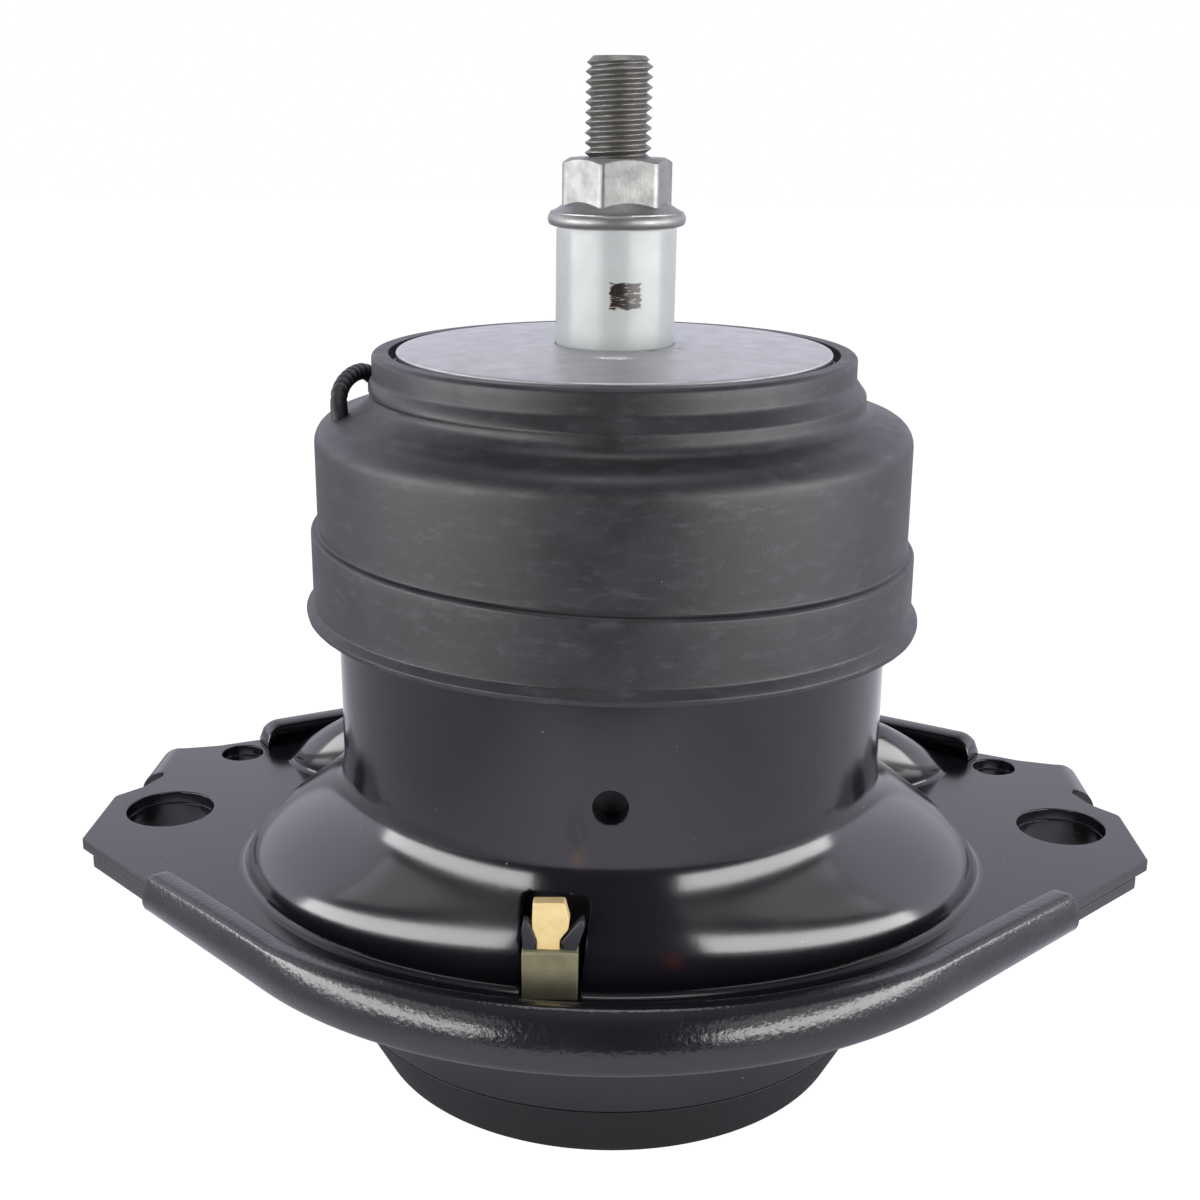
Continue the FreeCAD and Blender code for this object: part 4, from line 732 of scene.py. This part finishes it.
def makeBoot(sizes=boot):
    line = roundedLine([
        (41.9, 140.4), (45.0, 140.45, 0.9), (45.0, 136.0, 1.6), (46.9, 133.4, 1.2), (46.9, 130.0, 2.4),
        (55.9, 127.6, 4.2), (55.9, 106.4, 0.4), (57.2, 106.1, 0.7), (57.2, 93.6, 0.8), (58.7, 92.0, 0.5),
        (58.5, 91.0, 0.2), (52.95, 90.6), (52.95, 104.0), (52.9, 124.0, 2.0), (41.95, 128.5), (41.95, 140.4)])

    def tilt(radius, height, turns):
        # band and lip lean to the right; the lip's edge is a thin, slightly torn flash
        band = np.clip((112.0 - height) / 6.0, 0, 1) * np.clip((height - 92.5) / 10, 0, 1)
        low = np.clip((94.0 - height) / 2.0, 0, 1)
        height = height - band * (sizes["bandTilt"] * np.cos(turns) + sizes["bandBack"] * np.sin(turns))
        height = height - low * sizes["lipTilt"] * np.cos(turns)
        # the bead under the collar runs out on the left, into a plain flare
        left = np.clip(-np.cos(turns), 0, 1) ** 0.7
        radius = radius - left * 1.6 * np.exp(-((height - 132.6) / 1.5) ** 2) * (radius > 44)
        radius = radius + left * 1.2 * np.exp(-((height - 129.0) / 1.2) ** 2) * (radius > 44) * (radius < 50)
        flash = np.clip((radius - 58.0) / 0.7, 0, 1)
        radius = radius - flash * 0.22 * (1 + wavy(turns, 7, (7, 13, 22, 37, 61))) / 2
        return radius, height
    return turnedPiece("rubberBoot", refined(line, 1.6), bootRubber, 240, closed=True, shape=tilt)


tether = {
    "thick": 3.2,
    "ribs": 15,
    # azimuth in degrees, radius and height of points along the cord
    "way": [(192.5, 50.6, 124.5), (191.5, 51.0, 128.5), (188.5, 51.1, 132.2), (183.5, 50.5, 134.0),
            (177.0, 49.6, 134.9), (171.0, 48.8, 134.6), (167.0, 48.0, 132.4), (165.5, 47.4, 129.0)],
}


def makeTether(sizes=tether):
    # round cord on a smooth line through those points: its radius swells at each rib, and the ribs
    # lean like a twisted cord's
    azimuth, radius, height = np.array(sizes["way"]).T
    knots = polar(radius, np.radians(azimuth), height)
    ends = np.vstack([2 * knots[0] - knots[1], knots, 2 * knots[-1] - knots[-2]])
    u = np.linspace(0, 1, 30, endpoint=False)[:, None]
    runs = []
    for a, b, c, d in zip(ends, ends[1:], ends[2:], ends[3:]):
        bent = (2 * a - 5 * b + 4 * c - d) * u ** 2 + (3 * b - a - 3 * c + d) * u ** 3
        runs.append(0.5 * (2 * b + (c - a) * u + bent))
    centre = np.vstack(runs + [knots[-1:]])
    walked = np.concatenate([[0], np.cumsum(np.linalg.norm(np.diff(centre, axis=0), axis=1))])
    share = np.linspace(0, 1, 271)
    centre = np.column_stack([np.interp(share * walked[-1], walked, centre[:, k]) for k in range(3)])
    forward = np.gradient(centre, axis=0)
    forward /= np.linalg.norm(forward, axis=1)[:, None]
    side = centre * (1, 1, 0)
    side -= (side * forward).sum(1)[:, None] * forward
    side /= np.linalg.norm(side, axis=1)[:, None]
    lift = np.cross(side, forward)
    turns = np.arange(24) * 2 * math.pi / 24
    share = share[:, None]
    phase = sizes["ribs"] * share + 0.16 * np.sin(turns)[None, :]
    # the first part of the cord is plain
    ribs = np.abs(np.sin(math.pi * phase)) ** 0.55 * np.clip((share - 0.2) / 0.08, 0, 1)
    ribs = ribs + np.clip((0.26 - share) / 0.06, 0, 1)
    thick = sizes["thick"] / 2 * (0.84 + 0.16 * np.minimum(ribs, 1))
    ring = np.cos(turns)[None, :, None] * side[:, None, :] + np.sin(turns)[None, :, None] * lift[:, None, :]
    points = centre[:, None, :] + ring * thick[:, :, None]
    return makePiece("ribbedTether", points, cappedFaces(len(share), len(turns)), tetherRubber, 60)


# Core, stud, sleeve and nut

def makeCore():
    line = roundedLine([
        (6.05, 92.5), (6.05, 139.7), (11.1, 139.7), (11.1, 141.8, 0.15), (30.0, 141.3, 20.0),
        (40.5, 140.7, 0.5), (40.5, 138.0), (41.8, 138.0), (41.8, 131.0), (32.0, 127.0, 3.0),
        (24.0, 118.0, 4.0), (17.0, 92.5)], 5)
    return turnedPiece("aluminiumCore", refined(line, 3), discMetal, closed=True)


stud = {"radius": 6.0, "pitch": 1.75, "depth": 1.0, "chamfer": 1.3, "top": 192.6, "threadFrom": 164.0,
        "bottom": 100.0, "slope": 0.009, "leanFrom": 140.0}


def lean(piece):
    # the stud stands a few tenths off plumb, to the right, and carries its sleeve and nut along
    slope = stud["slope"]
    back = -slope * stud["leanFrom"] * mm
    piece.data.transform(Matrix(((1, 0, slope, back), (0, 1, 0, 0), (0, 0, 1, 0), (0, 0, 0, 1))))
    return piece


def makeStud(sizes=stud):
    # radius falls from the crest by a triangle wave of height / pitch - turn / 2 pi, and is held
    # under a cone at the end
    thread = np.arange(sizes["threadFrom"], sizes["top"] - 0.01, 0.11)
    height = np.concatenate([[sizes["bottom"], 130.0, 162.0], thread, [sizes["top"]]])
    turns = np.arange(120) * 2 * math.pi / 120
    z = np.repeat(height[:, None], len(turns), axis=1)
    phase = (z / sizes["pitch"] - turns / (2 * math.pi)) % 1
    groove = np.clip(1.12 - 2 * np.abs(phase - 0.5) * 1.25, 0, 1)
    groove = groove * np.clip((z - sizes["threadFrom"]) / 2, 0, 1)
    cone = sizes["radius"] - sizes["chamfer"] + sizes["top"] - z
    points = polar(np.minimum(sizes["radius"] - sizes["depth"] * groove, cone), turns, z)
    return lean(makePiece("threadedStud", points, cappedFaces(len(height), len(turns)), studMetal, 50))


def makeSleeve():
    line = refined(roundedLine([(6.3, 139.72), (11.0, 139.72), (11.0, 163.08, 0.3), (6.3, 163.08)], 4), 1.0)
    return lean(turnedPiece("spacerSleeve", line, nylon, 128, closed=True))


nut = {"flats": 18.0, "turn": 14.9, "bottom": 163.1, "top": 175.1, "flange": 12.6, "disc": 2.5, "cone": 2.4,
       "bore": 5.15}


def makeNut(sizes=nut):
    # hexagon radius = half flats / cos(angle from the nearest flat); the upper corners are held
    # under a cone, and the flange is whichever is wider of hexagon and flange cone
    columns = 240
    turns = np.arange(columns) * 2 * math.pi / columns + math.radians(sizes["turn"])
    angle = (turns - math.radians(sizes["turn"])) % (math.pi / 3) - math.pi / 6
    low, top, bore, half = sizes["bottom"], sizes["top"], sizes["bore"], sizes["flats"] / 2
    hexagon = np.minimum(half / np.cos(angle), half / math.cos(math.pi / 6) - 0.22)
    discTop = low + sizes["disc"]
    height = np.concatenate([np.linspace(low, discTop, 14), np.linspace(discTop, low + 5.2, 26)[1:],
                             np.linspace(low + 5.2, top - 2.4, 8)[1:], np.linspace(top - 2.4, top, 30)[1:]])
    z = np.repeat(height[:, None], columns, axis=1)
    # the flange's rim is a half round, the cone above it meets the hexagon
    middle = np.clip(2 * (z - low) / sizes["disc"] - 1, -1, 1)
    roundDisc = 0.9 * (np.sqrt(1 - np.clip(middle, -1, 0.85) ** 2) - 1)
    crown = np.minimum(hexagon[None, :], half - 0.35 + (top - z) * 1.75)
    fall = np.clip((z - discTop) / sizes["cone"], 0, 1)
    flange = sizes["flange"] + roundDisc - (sizes["flange"] - half + 0.2) * fall ** 0.8
    flange = np.where(z > discTop + sizes["cone"], 0, flange)
    inner = np.array([(half - 1.6, top), (bore + 0.9, top), (bore, top - 0.8), (bore, low + 0.8),
                      (bore + 1.2, low)])
    points = np.concatenate([polar(np.maximum(crown, flange), turns, z),
                             polar(inner[:, :1], turns, np.repeat(inner[:, 1:], columns, axis=1))])
    faces = gridFaces(len(points), columns, closedRows=True)
    return lean(makePiece("flangeNut", points, faces, nutMetal, 24))


# Clip in the bell's window

clipForms = {
    # outline in X and height, front and back y, edge, finish
    "clipBlock": ([
        (-13.35, 38.15, 0.3), (-3.9, 38.15, 0.3), (-3.8, 47.2, 0.6), (-13.4, 47.2, 0.6)],
        -59.4, -50.3, 0.35, clipPlastic),
    "clipTongue": ([
        (-10.9, 47.1), (-7.0, 47.1), (-6.9, 49.0, 0.6), (-5.5, 50.9, 0.8), (-5.3, 52.6, 1.2), (-6.1, 55.9, 0.4),
        (-11.5, 55.8, 0.4), (-11.7, 51.0, 1.2), (-10.9, 48.8, 0.8)],
        -58.2, -55.6, 0.3, tonguePlastic),
    "clipHookLeft": ([
        (-13.2, 47.15), (-11.2, 47.15), (-10.9, 48.6, 0.4), (-11.9, 51.6, 1.5), (-12.9, 53.2, 0.4),
        (-13.4, 51.0, 0.6)],
        -58.4, -56.2, 0.2, hookPlastic),
    "clipHookRight": ([
        (-6.0, 47.15), (-4.2, 47.15), (-3.6, 48.6, 0.6), (-2.7, 51.6, 0.5), (-3.0, 53.2, 0.3), (-5.0, 50.9, 0.5),
        (-6.75, 48.6, 0.4)],
        -58.4, -56.2, 0.2, hookPlastic),
}


def makeClip():
    return [cutPiece(name, [roundedRing(outline)], front, back, edge, finish, upright=True)
            for name, (outline, front, back, edge, finish) in clipForms.items()]


# Put together

shell = makeHousing()
dome = makeRearDome()
print("housing made")
upperPlate, lowerSheet = makePlates()
tabs = joined("bentTabs", [makeTab(-1), makeTab(1)])
collars = joined("boltCollars", [makeCollar(-1), makeCollar(1)])
frontRoll, rearRoll = makeRolls()
pot = makePot()
cup = makeCup()
print("base made")
rubberBoot = makeBoot()
ribbedTether = makeTether()
core = makeCore()
threadedStud = makeStud()
sleeve = makeSleeve()
flangeNut = makeNut()
clipBlock, clipTongue, hookLeft, hookRight = makeClip()
print("top and clip made")

parts = [
    (shell, "housing_paint", ["upper_housing"]),
    (dome, "housing_paint", []),
    (upperPlate, "plate_paint", []),
    (tabs, "plate_paint", []),
    (collars, "plate_paint", []),
    (lowerSheet, "plate_paint", ["lower_plate"]),
    (frontRoll, "plate_paint", []),
    (rearRoll, "plate_paint", []),
    (pot, "plate_paint", []),
    (cup, "cup_plastic", ["bottom_cup"]),
    (rubberBoot, "boot_rubber", ["boot"]),
    (ribbedTether, "boot_rubber", ["boot_tether"]),
    (core, "cast_aluminium", ["core"]),
    (threadedStud, "stud_steel", ["stud"]),
    (sleeve, "sleeve_nylon", ["spacer_sleeve"]),
    (flangeNut, "zinc_steel", ["flange_nut"]),
    (clipBlock, "clip_plastic", ["clip_block"]),
    (clipTongue, "tongue_plastic", ["clip_tongue"]),
    (hookLeft, "clip_plastic", ["clip_hook_left"]),
    (hookRight, "clip_plastic", ["clip_hook_right"]),
]
for piece, slotName, replaced in parts:
    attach(piece, "root")
    if replaced:
        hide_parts(*replaced)

# pieces inside the mount stay as the solids are
shellSteel = makeFinish("dipPaintShell", black, worn, 0.35, 18, 1.4, 0.006, None, None, {"IOR": 1.52})
springRubber = makeFinish("bondedSpringRubber", "#232325", "#2c2c2f", 0.55, 9, 0.35, 0.02)
channelMetal = makeFinish("dieCastAluminium", "#a9a9ac", "#8f8f93", 0.45, 5, 0.6, 0.012, None, None, metal)
smallMetal = makeFinish("zincPlatedSteel", "#b9b9bd", "#98989d", 0.3, 5, 0.6, 0.01, None, None, metal)
insideFinish = [
    (shellSteel, ["spring_shell"]),
    (springRubber, ["main_spring", "bump_ring", "decoupler", "seal_ring", "diaphragm"]),
    (channelMetal, ["channel_plate_upper", "channel_plate_lower"]),
    (smallMetal, ["channel_rivets", "fill_plug", "diaphragm_ring"]),
]
for material, names in insideFinish:
    for name in names:
        mesh = cadNodes[name].data
        mesh.materials.clear()
        mesh.materials.append(material)

# Table, light and camera

studio = {
    "tint": (0.93, 0.94, 1.08, 1.0),
    "frontRadiance": 0.03,
    "sideRadiance": 1.9,
    "backRadiance": 1.15,
    "topRadiance": 0.35,
    "ambient": 0.32,
    "floorDiffuse": 0.3,
    "floorSeen": 1.32,
    "floorMirrored": 1.5,
    "floorPaintedShadow": (50.0, 115.0, 0.25),      # painted shadow: from and to which distance the table's glow in reflections is dimmed round the part, and how far
    "floorPaintedFalloff": (70.0, 190.0, 0.35, 0.6),    # painted falloff: from and to which |x| the table's glow in reflections falls off, left and right
    "floorFront": -290.0,    # the table's front edge, below the camera
}


def makeFloor():
    half, front, sunk = 3000.0, studio["floorFront"], -0.3
    points = [(-half, front, sunk), (half, front, sunk), (half, half, sunk), (-half, half, sunk)]
    material = bpy.data.materials.new("paleTable")
    tree = emptyTree(material)
    rays = addNode(tree, "LightPath", output=None).outputs
    seen = addNode(tree, "Math", {0: rays["Is Camera Ray"], 1: rays["Is Glossy Ray"]}, operation="MAXIMUM")
    seen = addNode(tree, "Math", {0: seen, 1: rays["Is Transmission Ray"]}, operation="MAXIMUM")
    matte = addNode(tree, "BsdfDiffuse", {"Color": linear("#f2f2f3")})
    # what the part mirrors of the table: a painted shadow that dims its glow near the part, and a painted falloff
    # towards the sides
    near, far, least = studio["floorPaintedShadow"]
    inner, outer, left, right = studio["floorPaintedFalloff"]
    place = addNode(tree, "TexCoord", output="Object")
    reach = addNode(tree, "VectorMath", {0: place}, 1, operation="LENGTH")
    shade = addNode(tree, "MapRange", {
        "Value": reach, "From Min": near * mm, "From Max": far * mm, "To Min": least})
    across = addNode(tree, "SeparateXYZ", {0: place})
    for side, share in ((-1, left), (1, right)):
        fall = addNode(tree, "MapRange", {
            "Value": across, "From Min": side * inner * mm, "From Max": side * outer * mm,
            "To Min": 1.0, "To Max": share})
        shade = addNode(tree, "Math", {0: shade, 1: fall}, operation="MULTIPLY")
    mirrored = addNode(tree, "Math", {0: shade, 1: studio["floorMirrored"]}, operation="MULTIPLY")
    bright = addNode(tree, "Mix", {0: rays["Is Glossy Ray"], 2: studio["floorSeen"], 3: mirrored}, data_type="FLOAT")
    tone = addNode(tree, "Mix", {0: rays["Is Glossy Ray"], 6: (1, 1, 1, 1), 7: studio["tint"]}, 2, data_type="RGBA")
    glow = addNode(tree, "Emission", {"Color": tone, "Strength": bright})
    share = addNode(tree, "Math", {0: seen, 1: 1 - studio["floorDiffuse"]}, operation="MULTIPLY")
    mixed = addNode(tree, "MixShader", {0: share, 1: matte, 2: glow})
    addNode(tree, "OutputMaterial", {"Surface": mixed})
    makePiece("paleTable", points, [[0, 1, 2, 3]], material, 0, seal=False)


def makeWorld():
    # camera rays see white; mirror rays see a white backdrop behind and beside the part and the
    # dim room in front of it; the rest is even soft light
    world = bpy.data.worlds.new("studio")
    scene.world = world
    tree = emptyTree(world)
    rays = addNode(tree, "LightPath", output=None).outputs
    way = addNode(tree, "SeparateXYZ", {0: addNode(tree, "TexCoord")}, None).outputs
    beside = addNode(tree, "MapRange", {
        "Value": way[1], "From Min": -0.12, "From Max": 0.14, "To Min": studio["frontRadiance"]},
        interpolation_type="SMOOTHSTEP")
    behind = addNode(tree, "MapRange", {
        "Value": way[1], "From Min": 0.3, "From Max": 0.85,
        "To Min": studio["sideRadiance"], "To Max": studio["backRadiance"]})
    around = addNode(tree, "Math", {0: beside, 1: behind}, operation="MULTIPLY")
    above = addNode(tree, "MapRange", {
        "Value": way[2], "From Min": 0.45, "From Max": 0.9}, interpolation_type="SMOOTHSTEP")
    mirror = addNode(tree, "Mix", {0: above, 2: around, 3: studio["topRadiance"]}, data_type="FLOAT")
    plain = addNode(tree, "Mix", {0: rays["Is Glossy Ray"], 2: studio["ambient"], 3: mirror}, data_type="FLOAT")
    strength = addNode(tree, "Mix", {0: rays["Is Camera Ray"], 2: plain, 3: 1.0}, data_type="FLOAT")
    tone = addNode(tree, "Mix", {0: rays["Is Camera Ray"], 6: studio["tint"], 7: (1, 1, 1, 1)}, 2, data_type="RGBA")
    addNode(tree, "OutputWorld", {
        "Surface": addNode(tree, "Background", {"Color": tone, "Strength": strength})})


panels = {
    # azimuth from the front towards +X and elevation of the middle, distance, width, height, radiance
    "softboxLeft": (-60.0, 6.2, 700.0, 910.0, 180.0, 10.2),
    "softboxRight": (59.5, 6.2, 700.0, 900.0, 180.0, 10.8),
    "stripLeft": (-57.0, 26.0, 900.0, 1060.0, 150.0, 1.6),
    "stripRight": (57.0, 26.0, 900.0, 1060.0, 150.0, 1.6),
    "overhead": (0.0, 84.0, 900.0, 500.0, 400.0, 2.8),
}


def makePanels():
    # a rectangle lamp of radiance L over area A gives pi L A watts
    for name, (azimuth, elevation, distance, width, height, radiance) in panels.items():
        lamp = bpy.data.lights.new(name, "AREA")
        lamp.shape, lamp.size, lamp.size_y = "RECTANGLE", width * mm, height * mm
        lamp.energy = radiance * math.pi * width * height * mm * mm
        holder = bpy.data.objects.new(name, lamp)
        scene.collection.objects.link(holder)
        a, e = math.radians(azimuth), math.radians(elevation)
        way = Vector((math.sin(a) * math.cos(e), -math.cos(a) * math.cos(e), math.sin(e)))
        holder.location = Vector((0, 0, 0.06)) + way * distance * mm
        holder.rotation_euler = way.to_track_quat("Z", "Y").to_euler()


view = {"place": (7.3926, -312.829, 184.9496), "way": (-0.0298638, 0.9579197, -0.2854785),
        "roll": 0.4012, "lens": 50.315}


def makeCamera():
    data = bpy.data.cameras.new("photoCamera")
    data.lens, data.sensor_width, data.sensor_fit = view["lens"], 36.0, "HORIZONTAL"
    data.clip_start, data.clip_end = 0.01, 20
    camera = bpy.data.objects.new("photoCamera", data)
    scene.collection.objects.link(camera)
    level = Vector(view["way"]).to_track_quat("-Z", "Y").to_matrix()
    turn = level @ Matrix.Rotation(math.radians(view["roll"]), 3, "Z")
    camera.matrix_world = Matrix.Translation(Vector(view["place"]) * mm) @ turn.to_4x4()
    scene.camera = camera


makeFloor()
makeWorld()
makePanels()
makeCamera()
scene.view_settings.view_transform = "Standard"
print("table, light and camera made")
